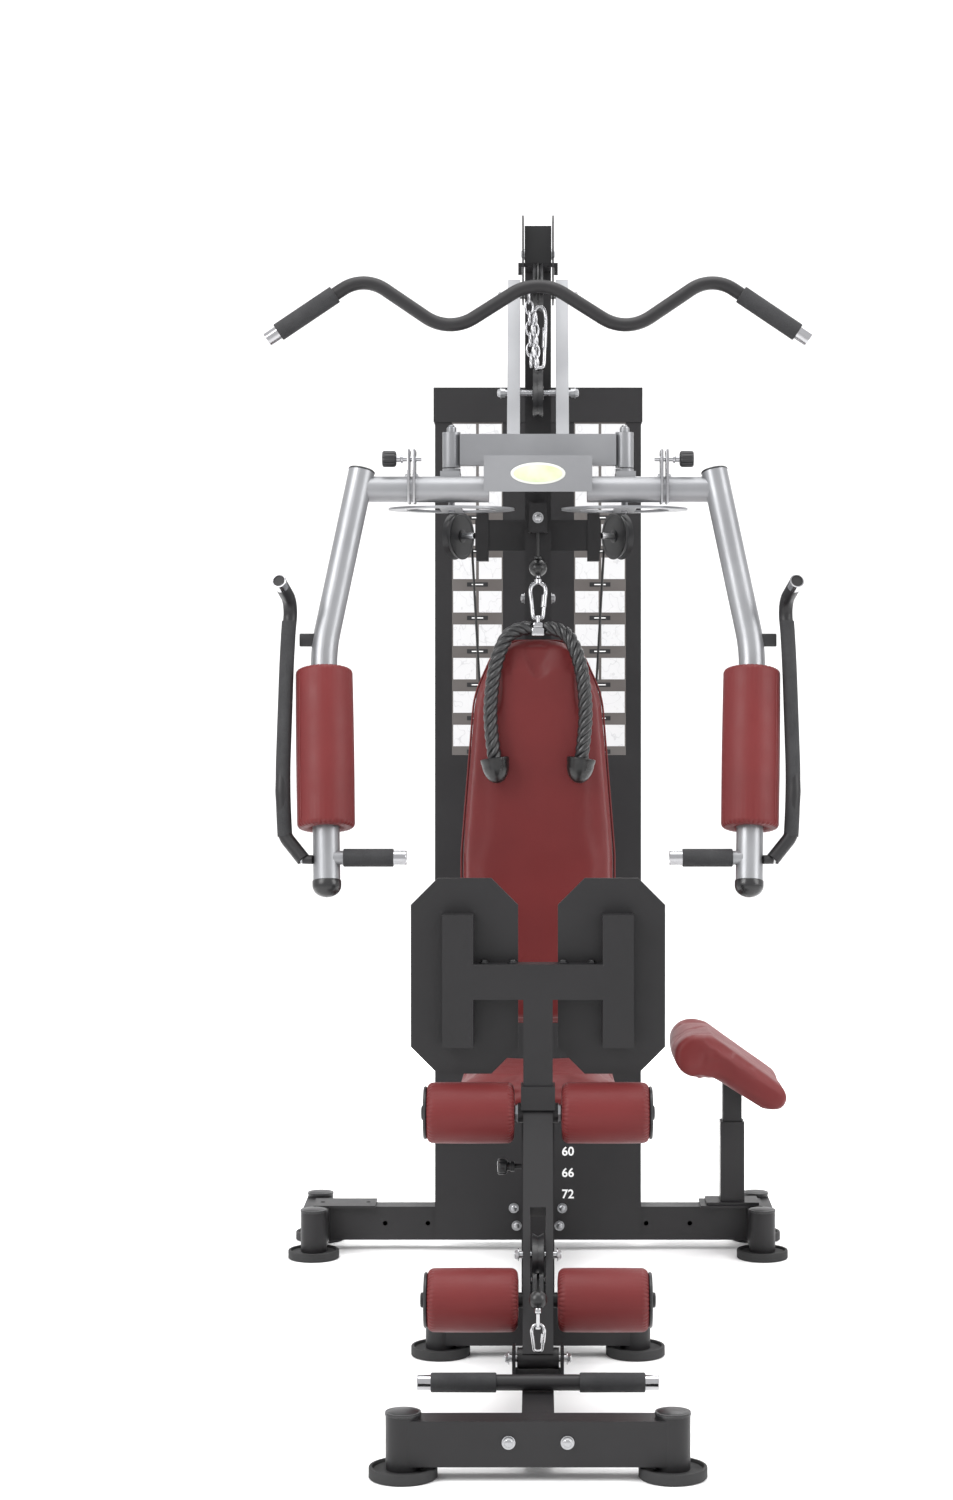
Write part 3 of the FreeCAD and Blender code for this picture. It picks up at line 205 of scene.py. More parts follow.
def finishFoam(name):
    # closed-cell foam: matt, finely pitted, with painted shade darkening each pit
    material, nodes, links, shader, spot = startMaterial(name)
    cells = nodes.new("ShaderNodeTexVoronoi")
    cells.inputs["Scale"].default_value = 900
    links.new(spot, cells.inputs["Vector"])
    # painted shade: the colour darkens towards each pit's centre, where the bump sinks
    tone = rampOf(nodes, links, cells.outputs["Distance"], (0.008, 0.008, 0.008),
                  (0.022, 0.022, 0.024), 0.1, 0.6)
    links.new(tone, shader.inputs["Base Color"])
    links.new(bumpOf(nodes, links, cells.outputs["Distance"], 0.5, 0.0005), shader.inputs["Normal"])
    links.new(spanOf(nodes, links, noiseOf(nodes, links, spot, 30), 0.7, 0.88),
              shader.inputs["Roughness"])
    return material


def finishCard(name):
    # pale card with thin grey strokes that show nothing in particular
    material, nodes, links, shader, spot = startMaterial(name)
    stretch = nodes.new("ShaderNodeMapping")
    stretch.inputs["Scale"].default_value = (44, 1, 34)
    links.new(spot, stretch.inputs["Vector"])
    strokes = nodes.new("ShaderNodeValToRGB")
    ramp = strokes.color_ramp
    ramp.elements[0].position = 0.485
    ramp.elements[0].color = (0.56, 0.56, 0.565, 1)
    ramp.elements[1].position = 0.515
    ramp.elements[1].color = (0.56, 0.56, 0.565, 1)
    ramp.elements.new(0.5).color = (0.44, 0.44, 0.45, 1)
    links.new(noiseOf(nodes, links, stretch.outputs["Vector"], 1.0, 1.5), strokes.inputs["Fac"])
    links.new(strokes.outputs["Color"], shader.inputs["Base Color"])
    links.new(spanOf(nodes, links, noiseOf(nodes, links, spot, 20), 0.25, 0.4),
              shader.inputs["Roughness"])
    links.new(bumpOf(nodes, links, noiseOf(nodes, links, spot, 900), 0.1, 0.0001),
              shader.inputs["Normal"])
    return material


looks = {
    "framePaint": {"dark": (0.0085, 0.008, 0.0088), "light": (0.0105, 0.0098, 0.0108),
                   "rough": (0.42, 0.52), "grain": 900, "bump": 0.3, "height": 0.0003, "coat": 0.04,
                   "specular": 0.36},
    "silverPaint": {"dark": (0.225, 0.228, 0.238), "light": (0.27, 0.274, 0.284),
                    "rough": (0.34, 0.44), "grain": 1600, "bump": 0.12, "height": 0.0002, "metal": 0.6,
                    "coat": 0.12},
    "chrome": {"dark": (0.36, 0.36, 0.375), "light": (0.5, 0.5, 0.51),
               "rough": (0.08, 0.22), "grain": 300, "bump": 0.04, "height": 0.0002, "metal": 1.0},
    "zinc": {"dark": (0.3, 0.31, 0.325), "light": (0.44, 0.44, 0.445),
             "rough": (0.22, 0.38), "grain": 700, "bump": 0.15, "height": 0.0002, "metal": 1.0},
    "rubber": {"dark": (0.01, 0.01, 0.01), "light": (0.02, 0.02, 0.021),
               "rough": (0.6, 0.8), "grain": 500, "bump": 0.3, "height": 0.0004},
    "plastic": {"dark": (0.008, 0.008, 0.009), "light": (0.012, 0.012, 0.013),
                "rough": (0.3, 0.46), "grain": 1300, "bump": 0.2, "height": 0.0002},
    "castIron": {"dark": (0.018, 0.018, 0.02), "light": (0.045, 0.045, 0.048),
                 "rough": (0.5, 0.7), "grain": 220, "bump": 0.5, "height": 0.0008},
    "cableCover": {"dark": (0.008, 0.008, 0.008), "light": (0.014, 0.014, 0.014),
                   "rough": (0.3, 0.45), "grain": 800, "bump": 0.2, "height": 0.0002},
    "rubberGloss": {"dark": (0.008, 0.008, 0.008), "light": (0.014, 0.014, 0.015),
                    "rough": (0.2, 0.36), "grain": 600, "bump": 0.12, "height": 0.0003},
    "ropeYarn": {"dark": (0.0035, 0.0035, 0.004), "light": (0.012, 0.012, 0.013),
                 "rough": (0.26, 0.42), "grain": 1500, "bump": 0.45, "height": 0.0004, "broad": 120,
                 "specular": 0.7},
    "badgeGreen": {"dark": (0.46, 0.55, 0.3), "light": (0.6, 0.65, 0.46),
                   "rough": (0.2, 0.3), "grain": 500, "bump": 0.02, "height": 0.0001, "broad": 18},
    "badgeWhite": {"dark": (0.52, 0.54, 0.48), "light": (0.6, 0.61, 0.57),
                   "rough": (0.2, 0.3), "grain": 500, "bump": 0.02, "height": 0.0001},
    "whiteInk": {"dark": (0.7, 0.7, 0.7), "light": (0.8, 0.8, 0.8),
                 "rough": (0.4, 0.5), "grain": 500, "bump": 0.05, "height": 0.0001},
    "chartBoard": {"dark": (0.075, 0.066, 0.062), "light": (0.088, 0.08, 0.076),
                   "rough": (0.35, 0.5), "grain": 900, "bump": 0.05, "height": 0.0001},
}
finishes = {name: finishPaint(name, look) for name, look in looks.items()}
finishes["redVinyl"] = finishVinyl("redVinyl", {
    "dark": (0.112, 0.0125, 0.0130), "light": (0.127, 0.0145, 0.0150), "pebble": 750, "rough": (0.42, 0.56)})
finishes["foam"] = finishFoam("foam")
finishes["card"] = finishCard("card")
slotFinish = {"frame_paint": "framePaint", "silver_paint": "silverPaint", "chrome": "chrome",
              "red_vinyl": "redVinyl", "black_rubber": "rubber", "black_plastic": "plastic",
              "cast_plate": "castIron", "cable_cover": "cableCover", "rope_twist": "ropeYarn"}
slotOfFinish = {finish: slot for slot, finish in slotFinish.items()}
slotOfFinish.update({"foam": "black_rubber", "rubberGloss": "black_rubber", "zinc": "chrome"})
for finish in ("card", "badgeGreen", "badgeWhite", "whiteInk", "chartBoard"):
    slotOfFinish[finish] = "black_plastic"


def dressFrame():
    for part in frame["record"]["subparts"]:
        node = frame["nodes"][part["node"]]
        finish = finishes[slotFinish[part["material_slot"]]]
        if part["node"] in ("frame_bolts", "press_axles"):
            finish = finishes["zinc"]
        for slot in node.material_slots:
            slot.material = finish


# making pieces
def keepPiece(name, mesh, finish, body, replaced=(), inMetres=False):
    if not inMetres:
        mesh.transform(toMetres)
    piece = bpy.data.objects.new(name, mesh)
    bpy.context.collection.objects.link(piece)
    if finish:
        mesh.materials.clear()
        mesh.materials.append(finishes[finish])
    mesh.polygons.foreach_set("use_smooth", [True] * len(mesh.polygons))
    mesh.set_sharp_from_angle(angle=math.radians(38))
    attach(piece, body)
    if replaced:
        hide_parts(*replaced)
    return piece


def meshFrom(bm, name):
    bmesh.ops.recalc_face_normals(bm, faces=bm.faces)
    mesh = bpy.data.meshes.new(name)
    bm.to_mesh(mesh)
    bm.free()
    return mesh


def turnTo(direction):
    return Vector(direction).to_track_quat("Z", "Y").to_matrix().to_4x4()


def lathe(bm, profile, start, direction, segments=48, wave=None):
    # a closed solid turned from (radius, along) pairs; wave(angle, index) scales the radius
    turn = turnTo(direction)
    rings = []
    for index, (radius, along) in enumerate(profile):
        ring = []
        for step in range(segments):
            angle = 2 * math.pi * step / segments
            reach = radius * (wave(angle, index) if wave else 1)
            spot = Vector((reach * math.cos(angle), reach * math.sin(angle), along))
            ring.append(bm.verts.new(Vector(start) + turn @ spot))
        rings.append(ring)
    for first, second in zip(rings, rings[1:]):
        for step in range(segments):
            after = (step + 1) % segments
            bm.faces.new((first[step], first[after], second[after], second[step]))
    bm.faces.new(list(reversed(rings[0])))
    bm.faces.new(rings[-1])


def slab(bm, low, high, edge):
    # a box between two corners with bevelled edges
    low, high = Vector(low), Vector(high)
    made = bmesh.ops.create_cube(bm, size=1)["verts"]
    for vert in made:
        for axis in range(3):
            vert.co[axis] = low[axis] + (vert.co[axis] + 0.5) * (high[axis] - low[axis])
    edges = list({e for vert in made for e in vert.link_edges})
    bmesh.ops.bevel(bm, geom=edges, offset=edge, segments=2, affect="EDGES", profile=0.5)


def smoothLine(points, closed=False, order=3, resolution=10):
    # points read back from a NURBS curve with no bevel
    data = bpy.data.curves.new("line", "CURVE")
    data.dimensions = "3D"
    data.resolution_u = resolution
    spline = data.splines.new("NURBS")
    spline.points.add(len(points) - 1)
    for point, spot in zip(spline.points, points):
        point.co = (*spot, 1)
    spline.use_cyclic_u = closed
    spline.order_u = order
    if not closed:
        spline.use_endpoint_u = True
    curve = bpy.data.objects.new("line", data)
    bpy.context.collection.objects.link(curve)
    bpy.context.view_layer.update()
    mesh = bpy.data.meshes.new_from_object(curve.evaluated_get(bpy.context.evaluated_depsgraph_get()))
    line = [vert.co.copy() for vert in mesh.vertices]
    bpy.data.objects.remove(curve)
    bpy.data.meshes.remove(mesh)
    return line


def framesAlong(line, closed=False):
    # a steady sideways direction for each point, so that a tube doesn't twist
    count = len(line)
    frames = []
    side = None
    for index in range(count):
        after = line[(index + 1) % count] if closed or index < count - 1 else line[index]
        before = line[index - 1] if closed or index > 0 else line[index]
        ahead = (after - before).normalized()
        if side is None:
            side = ahead.orthogonal().normalized()
        side = (side - ahead * side.dot(ahead)).normalized()
        frames.append((side, ahead.cross(side)))
    return frames


def tube(bm, line, radius, segments=12, closed=False):
    # a round tube along points
    rings = []
    for spot, (side, other) in zip(line, framesAlong(line, closed)):
        ring = []
        for step in range(segments):
            angle = 2 * math.pi * step / segments
            out = side * radius * math.cos(angle) + other * radius * math.sin(angle)
            ring.append(bm.verts.new(spot + out))
        rings.append(ring)
    pairs = list(zip(rings, rings[1:])) + ([(rings[-1], rings[0])] if closed else [])
    for first, second in pairs:
        for step in range(segments):
            after = (step + 1) % segments
            bm.faces.new((first[step], first[after], second[after], second[step]))
    if not closed:
        bm.faces.new(list(reversed(rings[0])))
        bm.faces.new(rings[-1])


def onSide(side, x, y, z):
    return Vector((side * x, y, z))


def domeRings(radius, tall, steps, base=0):
    # rings of a dome, from just above its foot to just below its tip
    turns = [math.radians(90 * step / steps) for step in range(1, steps)]
    return [(radius * math.cos(turn), base + tall * math.sin(turn)) for turn in turns]


# pieces of one simple kind
def turnedPiece(name, profile, start, direction, finish, body, replaced=(), segments=48, wave=None):
    bm = bmesh.new()
    lathe(bm, profile, start, direction, segments, wave)
    return keepPiece(name, meshFrom(bm, name), finish, body, replaced)


def slabPiece(name, low, high, edge, finish, body, replaced=()):
    bm = bmesh.new()
    slab(bm, low, high, edge)
    return keepPiece(name, meshFrom(bm, name), finish, body, replaced)


def tubePiece(name, line, radius, segments, finish, body, replaced=(), closed=False):
    bm = bmesh.new()
    tube(bm, line, radius, segments, closed)
    return keepPiece(name, meshFrom(bm, name), finish, body, replaced)


# ropes, which come first because the frame checks their length
def ropeStrands(bm, line, sizes):
    # strands laid round the line in even turns
    gone = [0]
    for first, second in zip(line, line[1:]):
        gone.append(gone[-1] + (second - first).length)
    for strand in range(sizes["strands"]):
        centres = []
        for spot, run, (side, other) in zip(line, gone, framesAlong(line)):
            angle = 2 * math.pi * strand / sizes["strands"] + 2 * math.pi * run / sizes["pitch"]
            centres.append(spot + (side * math.cos(angle) + other * math.sin(angle)) * sizes["laid"])
        tube(bm, centres, sizes["strand"], 14)


def makeRopes():
    sizes = {"strands": 4, "pitch": 66, "laid": 7.6, "strand": 6.1, "core": 6,
             "knobRadius": 27, "knobLong": 45, "rim": 8, "length": 0.29, "diameter": 0.027}
    route = [(14.2, -562, 1308), (50, -568, 1308), (76, -592, 1258), (88, -592, 1192),
             (90, -594, 1124), (81, -598, 1062)]
    for side, hand in sides:
        line = smoothLine([onSide(side, *spot) for spot in route], resolution=24)
        bm = bmesh.new()
        ropeStrands(bm, line, sizes)
        tube(bm, line, sizes["core"], 10)
        rope = keepPiece("rope_" + hand + "_strands", meshFrom(bm, "rope"), "ropeYarn", "frame",
                         ["rope_" + hand])
        heading = (line[-1] - line[-2]).normalized()
        radius, rim = sizes["knobRadius"], sizes["rim"]
        profile = [(13, -3), (radius - 3, -3), (radius, -1.5), (radius, 5), (radius - 1.2, rim)]
        profile += domeRings(radius - 1.2, sizes["knobLong"] - rim, 9, rim)
        knob = turnedPiece("rope_" + hand + "_knob", profile, line[-1] + heading * 0.3, heading,
                           "rubberGloss", "frame", ["rope_ends"])
        path = [toMetres @ spot for spot in line]
        length = sum((b - a).length for a, b in zip(path, path[1:]))
        print("rope", hand, round(length, 4))


# repeats by geometry nodes
def newTree(name, inputs):
    tree = bpy.data.node_groups.new(name, "GeometryNodeTree")
    tree.interface.new_socket("Geometry", in_out="INPUT", socket_type="NodeSocketGeometry")
    tree.interface.new_socket("Geometry", in_out="OUTPUT", socket_type="NodeSocketGeometry")
    for word, value in inputs.items():
        kind = "NodeSocketInt" if isinstance(value, int) else "NodeSocketFloat"
        tree.interface.new_socket(word, in_out="INPUT", socket_type=kind).default_value = value
    return tree, tree.nodes.new("NodeGroupInput").outputs, tree.nodes.new("NodeGroupOutput").inputs


def addNode(tree, kind, links=(), **settings):
    node = tree.nodes.new(kind)
    for word, value in settings.items():
        setattr(node, word, value)
    for socket, source in dict(links).items():
        target = node.inputs[socket]
        if hasattr(source, "is_output"):
            tree.links.new(source, target)
        else:
            target.default_value = source
    return node


def closeTree(tree, made, out, finish):
    real = addNode(tree, "GeometryNodeRealizeInstances", {0: made})
    dressed = addNode(tree, "GeometryNodeSetMaterial", {0: real.outputs[0]})
    dressed.inputs["Material"].default_value = finishes[finish]
    tree.links.new(dressed.outputs[0], out[0])


def growPiece(name, mesh, tree, values, finish, body, replaced=()):
    # run the tree on a mesh, keep the result as a plain mesh and drop the modifier
    host = bpy.data.objects.new(name + "_host", mesh)
    bpy.context.collection.objects.link(host)
    modifier = host.modifiers.new("grow", "NODES")
    modifier.node_group = tree
    for item in tree.interface.items_tree:
        if item.in_out == "INPUT" and item.name in values:
            modifier[item.identifier] = values[item.name]
    result = bpy.data.meshes.new_from_object(
        host.evaluated_get(bpy.context.evaluated_depsgraph_get()))
    host.modifiers.clear()
    bpy.data.objects.remove(host)
    return keepPiece(name, result, finish, body, replaced)


def spotsMesh(name, spots):
    # bare points, each with the way it faces
    mesh = bpy.data.meshes.new(name)
    mesh.from_pydata([spot for spot, way in spots], [], [])
    ways = mesh.attributes.new("outward", "FLOAT_VECTOR", "POINT")
    for item, (spot, way) in zip(ways.data, spots):
        item.vector = way
    return mesh


def facingTree(name, inputs, finish, build):
    # one shape on every point, turned so that its own Z faces outward
    tree, given, out = newTree(name, inputs)
    shape = build(tree, {socket.name: socket for socket in given})
    way = addNode(tree, "GeometryNodeInputNamedAttribute", {"Name": "outward"},
                  data_type="FLOAT_VECTOR").outputs["Attribute"]
    turn = addNode(tree, "FunctionNodeAlignRotationToVector", {"Vector": way}, axis="Z")
    placed = addNode(tree, "GeometryNodeInstanceOnPoints",
                     {"Points": given[0], "Instance": shape, "Rotation": turn.outputs[0]})
    closeTree(tree, placed.outputs[0], out, finish)
    return tree


def boltShape(tree, given):
    # washer, hexagon head and a low dome on it
    washer = addNode(tree, "GeometryNodeMeshCylinder",
                     {"Vertices": 32, "Radius": given["washer"], "Depth": 1.4})
    head = addNode(tree, "GeometryNodeMeshCone",
                   {"Vertices": 6, "Radius Top": given["flat"], "Radius Bottom": given["corner"],
                    "Depth": given["tall"]})
    dome = addNode(tree, "GeometryNodeMeshUVSphere",
                   {"Segments": 24, "Rings": 12, "Radius": given["flat"]})
    squat = addNode(tree, "GeometryNodeTransform",
                    {"Geometry": dome.outputs[0], "Scale": (0.92, 0.92, 0.3)})
    rise = addNode(tree, "ShaderNodeCombineXYZ", {"Z": given["tall"]})
    onTop = addNode(tree, "GeometryNodeTransform",
                    {"Geometry": squat.outputs[0], "Translation": rise.outputs[0]})
    joint = tree.nodes.new("GeometryNodeJoinGeometry")
    for part in (washer.outputs[0], head.outputs[0], onTop.outputs[0]):
        tree.links.new(part, joint.inputs[0])
    return joint.outputs[0]


def makeBolts():
    sizes = {"corner": 8.6, "flat": 7.2, "tall": 5.2, "washer": 10.5}
    small = dict(sizes, corner=6.4, flat=5.4, tall=3.6, washer=8.2)
    tree = facingTree("bolt_heads", sizes, "zinc", boltShape)
    front, up = Vector((0, -1, 0)), Vector((0, 0, 1))

    def boltGroup(name, spots, given, finish, body):
        growPiece(name, spotsMesh("spots", spots), tree, given, finish, body)

    fixed = []
    for side, hand in sides:
        way = Vector((side, 0, 0))
        for x, y, z, facing in ((45, -1595.2, 60, front), (51, 66.8, 90, front), (45, 66.8, 53, front),
                                (26.2, -435, 1366, way), (47.5, -1310, 118, way), (34.5, -625, 1941, way),
                                (26.2, -435, 2030, way), (30, -813, 93.5, up)):
            fixed.append(((side * x, y, z), facing))
    fixed.append(((0, -547, 1517), front))
    boltGroup("frame_bolt_heads", fixed, sizes, "zinc", "frame")
    press = [((side * 70.4, y, z), Vector((side, 0, 0))) for side, hand in sides
             for y, z in ((-435, 1950), (-530, 1754))]
    boltGroup("press_bolt_heads", press, sizes, "zinc", "press_arm")
    lever = [((side * 32.4, -1213.8, 265.4), Vector((side, 0, 0))) for side, hand in sides]
    boltGroup("lever_bolt_heads", lever, sizes, "zinc", "leg_press")
    plates = [((side * x, -1075, 734.2), up) for side, hand in sides for x in (44, 92)]
    boltGroup("foot_plate_bolts", plates, small, "plastic", "leg_press")
    for side, hand in sides:
        arm = [((side * x, -700, 1585), Vector((side * way, 0, 0))) for x, way in ((224.6, -1), (239.6, 1))]
        arm.append(((side * 162, -600, 1683), up))
        arm.append(((side * 418, -885, 896), Vector((side, -0.25, -0.1))))
        boltGroup("fly_bolts_" + hand, arm, small, "zinc", hand + "_fly_arm")
    print("bolts done")


def cardShape(tree, given):
    size = addNode(tree, "ShaderNodeCombineXYZ", {"X": given["wide"], "Y": given["high"], "Z": 0.5})
    return addNode(tree, "GeometryNodeMeshCube", {"Size": size.outputs[0]}).outputs[0]


def makeCharts():
    # two boards of exercise cards on the shroud, with blank bars between the rows
    sizes = {"rows": 10, "top": 1748, "pitch": 70.4, "cardHigh": 45.0, "face": 67.6, "drop": 34,
             "pillWide": 44.0, "pillHigh": 9.0, "dashWide": 24.0, "dashHigh": 2.2}
    face, top, pitch = sizes["face"], sizes["top"], sizes["pitch"]
    front = Vector((0, -1, 0))
    for hand, low, high in (("left", -181, -74), ("right", 76, 185)):
        wide, middle = (high - low) / 2 - 5.5, (low + high) / 2
        slabPiece("chart_board_" + hand, (low, face - 0.2, top - sizes["rows"] * pitch),
                  (high, face + 0.5, top), 0.1, "chartBoard", "frame")
        rows = [top - pitch * (row + 0.5) + 6 for row in range(sizes["rows"])]
        cards = [((middle + side * (wide / 2 + 3), face - 0.4, z), front) for z in rows for side in (-1, 1)]
        pills = [((middle, face - 0.4, z - sizes["drop"]), front) for z in rows]
        dashes = [((middle, face - 0.8, z - sizes["drop"]), front) for z in rows]
        for kind, spots, across, tall, finish in (
                ("cards", cards, wide, sizes["cardHigh"], "card"),
                ("pills", pills, sizes["pillWide"], sizes["pillHigh"], "plastic"),
                ("dashes", dashes, sizes["dashWide"], sizes["dashHigh"], "whiteInk")):
            tree = facingTree("chart_" + kind, {"wide": 1.0, "high": 1.0}, finish, cardShape)
            growPiece("chart_%s_%s" % (kind, hand), spotsMesh("spots", spots), tree,
                      {"wide": across, "high": tall}, finish, "frame")
    print("charts done")


def makeNumerals():
    # one load numeral beside each plate
    sizes = {"tall": 26, "bold": 0.9, "x": 63, "low": 118.6, "pitch": 45, "step": 6, "levels": 12}
    whole = bmesh.new()
    for level in range(sizes["levels"]):
        data = bpy.data.curves.new("numeral", "FONT")
        data.body = str((sizes["levels"] - level) * sizes["step"])
        data.size = sizes["tall"]
        data.offset = sizes["bold"] / 2
        data.extrude = 0.15
        data.resolution_u = 4
        data.align_x = "CENTER"
        data.align_y = "CENTER"
        text = bpy.data.objects.new("numeral", data)
        bpy.context.collection.objects.link(text)
        mesh = bpy.data.meshes.new_from_object(
            text.evaluated_get(bpy.context.evaluated_depsgraph_get()))
        spot = Vector((sizes["x"], 67.7, sizes["low"] + sizes["pitch"] * level))
        mesh.transform(Matrix.Translation(spot) @ Matrix.Rotation(math.radians(90), 4, "X"))
        whole.from_mesh(mesh)
        bpy.data.objects.remove(text)
    keepPiece("load_numerals", meshFrom(whole, "numerals"), "whiteInk", "frame")


# pads
def roundOutline(corners, radii, steps=8):
    # a closed outline of straight runs with rounded corners, as (x, z) pairs
    outline = []
    count = len(corners)
    for index in range(count):
        corner = Vector(corners[index])
        before = (Vector(corners[index - 1]) - corner).normalized()
        after = (Vector(corners[(index + 1) % count]) - corner).normalized()
        half = before.angle(after) / 2
        radius = radii[index]
        reach = radius / math.tan(half)
        centre = corner + (before + after).normalized() * radius / math.sin(half)
        start = corner + before * reach - centre
        end = corner + after * reach - centre
        for step in range(steps + 1):
            way = start.normalized().slerp(end.normalized(), step / steps)
            outline.append(centre + way * radius)
    return outline


def insetOutline(outline, amount):
    # move each point inwards, square to the outline there
    moved = []
    count = len(outline)
    middle = sum(outline, Vector((0, 0))) / count
    for index in range(count):
        along = (outline[(index + 1) % count] - outline[index - 1]).normalized()
        inward = Vector((-along.y, along.x))
        if inward.dot(middle - outline[index]) < 0:
            inward = -inward
        moved.append(outline[index] + inward * amount)
    return moved


def padShell(outline, profile, toSpot):
    # rings of the outline at each (inset, height) pair, closed at both ends
    bm = bmesh.new()
    rings = []
    for inset, height in profile:
        ring = insetOutline(outline, inset)
        rings.append([bm.verts.new(toSpot(point, height)) for point in ring])
    count = len(outline)
    for first, second in zip(rings, rings[1:]):
        for step in range(count):
            after = (step + 1) % count
            bm.faces.new((first[step], first[after], second[after], second[step]))
    bm.faces.new(list(reversed(rings[0])))
    bm.faces.new(rings[-1])
    bmesh.ops.triangulate(bm, faces=[face for face in bm.faces if len(face.verts) > 4])
    return meshFrom(bm, "pad")


def blowUp(mesh, sizes, name):
    # cloth under pressure, with its back held, then each vertex kept near its start
    mesh.transform(toMetres)
    draft = bpy.data.objects.new(name + "_draft", mesh)
    bpy.context.collection.objects.link(draft)
    remesh = draft.modifiers.new("remesh", "REMESH")
    remesh.mode = "VOXEL"
    remesh.voxel_size = sizes["voxel"]
    smooth = draft.modifiers.new("smooth", "SMOOTH")
    smooth.iterations = 5
    ready = bpy.data.meshes.new_from_object(
        draft.evaluated_get(bpy.context.evaluated_depsgraph_get()))
    bpy.data.objects.remove(draft)
    home = [vert.co.copy() for vert in ready.vertices]
    soft = bpy.data.objects.new(name + "_soft", ready)
    bpy.context.collection.objects.link(soft)
    held = soft.vertex_groups.new(name="held")
    back = sizes["back"]
    edge = max(co.dot(back) for co in home) - sizes["grip"]
    held.add([index for index, co in enumerate(home) if co.dot(back) > edge], 1.0, "REPLACE")
    cloth = soft.modifiers.new("cloth", "CLOTH")
    cloth.settings.vertex_group_mass = "held"
    cloth.settings.use_pressure = True
    cloth.settings.uniform_pressure_force = 4
    cloth.settings.tension_stiffness = 30
    cloth.settings.compression_stiffness = 30
    cloth.settings.effector_weights.gravity = 0
    for step in range(1, 21):
        bpy.context.scene.frame_set(step)
    moved = bpy.data.meshes.new_from_object(
        soft.evaluated_get(bpy.context.evaluated_depsgraph_get()))
    soft.modifiers.clear()
    for vert, start, end in zip(ready.vertices, home, moved.vertices):
        shift = end.co - start
        if shift.length > sizes["cap"]:
            shift = shift.normalized() * sizes["cap"]
        vert.co = start + shift
    bpy.context.scene.frame_set(1)
    finer = soft.modifiers.new("finer", "SUBSURF")
    finer.levels = finer.render_levels = 1
    done = bpy.data.meshes.new_from_object(
        soft.evaluated_get(bpy.context.evaluated_depsgraph_get()))
    bpy.data.objects.remove(soft)
    print(name, "blown up,", len(done.vertices), "points")
    return done


def padPiece(name, outline, profile, toSpot, sizes, body, weltAt=None):
    # the blown cushion, with a welt round it at the given height
    pad = keepPiece(name + "_cushion", blowUp(padShell(outline, profile, toSpot), sizes, name), "redVinyl",
                    body, [name + "_pad"], inMetres=True)
    if weltAt is not None:
        loop = [toSpot(point, weltAt) for point in insetOutline(outline, -1.2)]
        tubePiece(name + "_welt", loop, 2.0, 10, "redVinyl", body, closed=True)


def makeBackrest():
    sizes = {"voxel": 0.006, "cap": 0.009, "grip": 0.012, "back": Vector((0, 1, 0)),
             "front": -567, "rear": -517.4}
    corners = [(-144, 562), (144, 562), (144, 880), (120, 1180), (74, 1283), (-74, 1283),
               (-120, 1180), (-144, 880)]
    outline = roundOutline(corners, [16, 16, 300, 170, 62, 62, 170, 300])
    front, rear = sizes["front"], sizes["rear"]
    profile = [(4, rear), (1, rear - 4), (0, rear - 12), (0, front + 20), (1.5, front + 11),
               (6, front + 4), (14, front + 0.8), (26, front)]
    padPiece("backrest", outline, profile, lambda point, height: Vector((point.x, height, point.y)),
             sizes, "frame", rear - 9)


def makeSeat():
    sizes = {"voxel": 0.006, "cap": 0.009, "grip": 0.012, "back": Vector((0, 0, -1)),
             "top": 498, "under": 445.4}
    corners = [(-140, -866), (140, -866), (140, -587), (-140, -587)]
    outline = roundOutline(corners, [48, 48, 30, 30])
    top, under = sizes["top"], sizes["under"]
    profile = [(4, under), (1, under + 4), (0, under + 10), (0, top - 20), (2, top - 10),
               (7, top - 3.5), (16, top - 0.6), (30, top)]
    padPiece("seat", outline, profile, lambda point, height: Vector((point.x, point.y, height)),
             sizes, "seat", under + 7)


def makeBench():
    # a rolled arm pad: a thick roll at the top, thinner down the slope
    sizes = {"voxel": 0.006, "cap": 0.007, "grip": 0.008, "back": Vector((-0.49, 0, -0.87)),
             "near": -50, "far": 240, "rollRadius": 45, "tailRadius": 25}
    roll, tail = Vector((328, 425)), Vector((492, 333))
    slope = (tail - roll).normalized()
    lift = Vector((-slope.y, slope.x))
    outline = []
    for centre, radius, first, swing, steps in ((roll, sizes["rollRadius"], -50, -220, 18),
                                                (tail, sizes["tailRadius"], 90, -180, 12)):
        for step in range(steps + 1):
            turn = math.radians(first + step * swing / steps)
            outline.append(centre + (slope * math.cos(turn) + lift * math.sin(turn)) * radius)
    outline.append(roll + slope * 56 - lift * 17)
    near, far = sizes["near"], sizes["far"]
    profile = [(20, near), (9, near + 2), (3, near + 7), (0, near + 16), (0, far - 16),
               (3, far - 7), (9, far - 2), (20, far)]
    padPiece("bench", outline, profile, lambda point, height: Vector((point.x, height, point.y)),
             sizes, "preacher_pad")


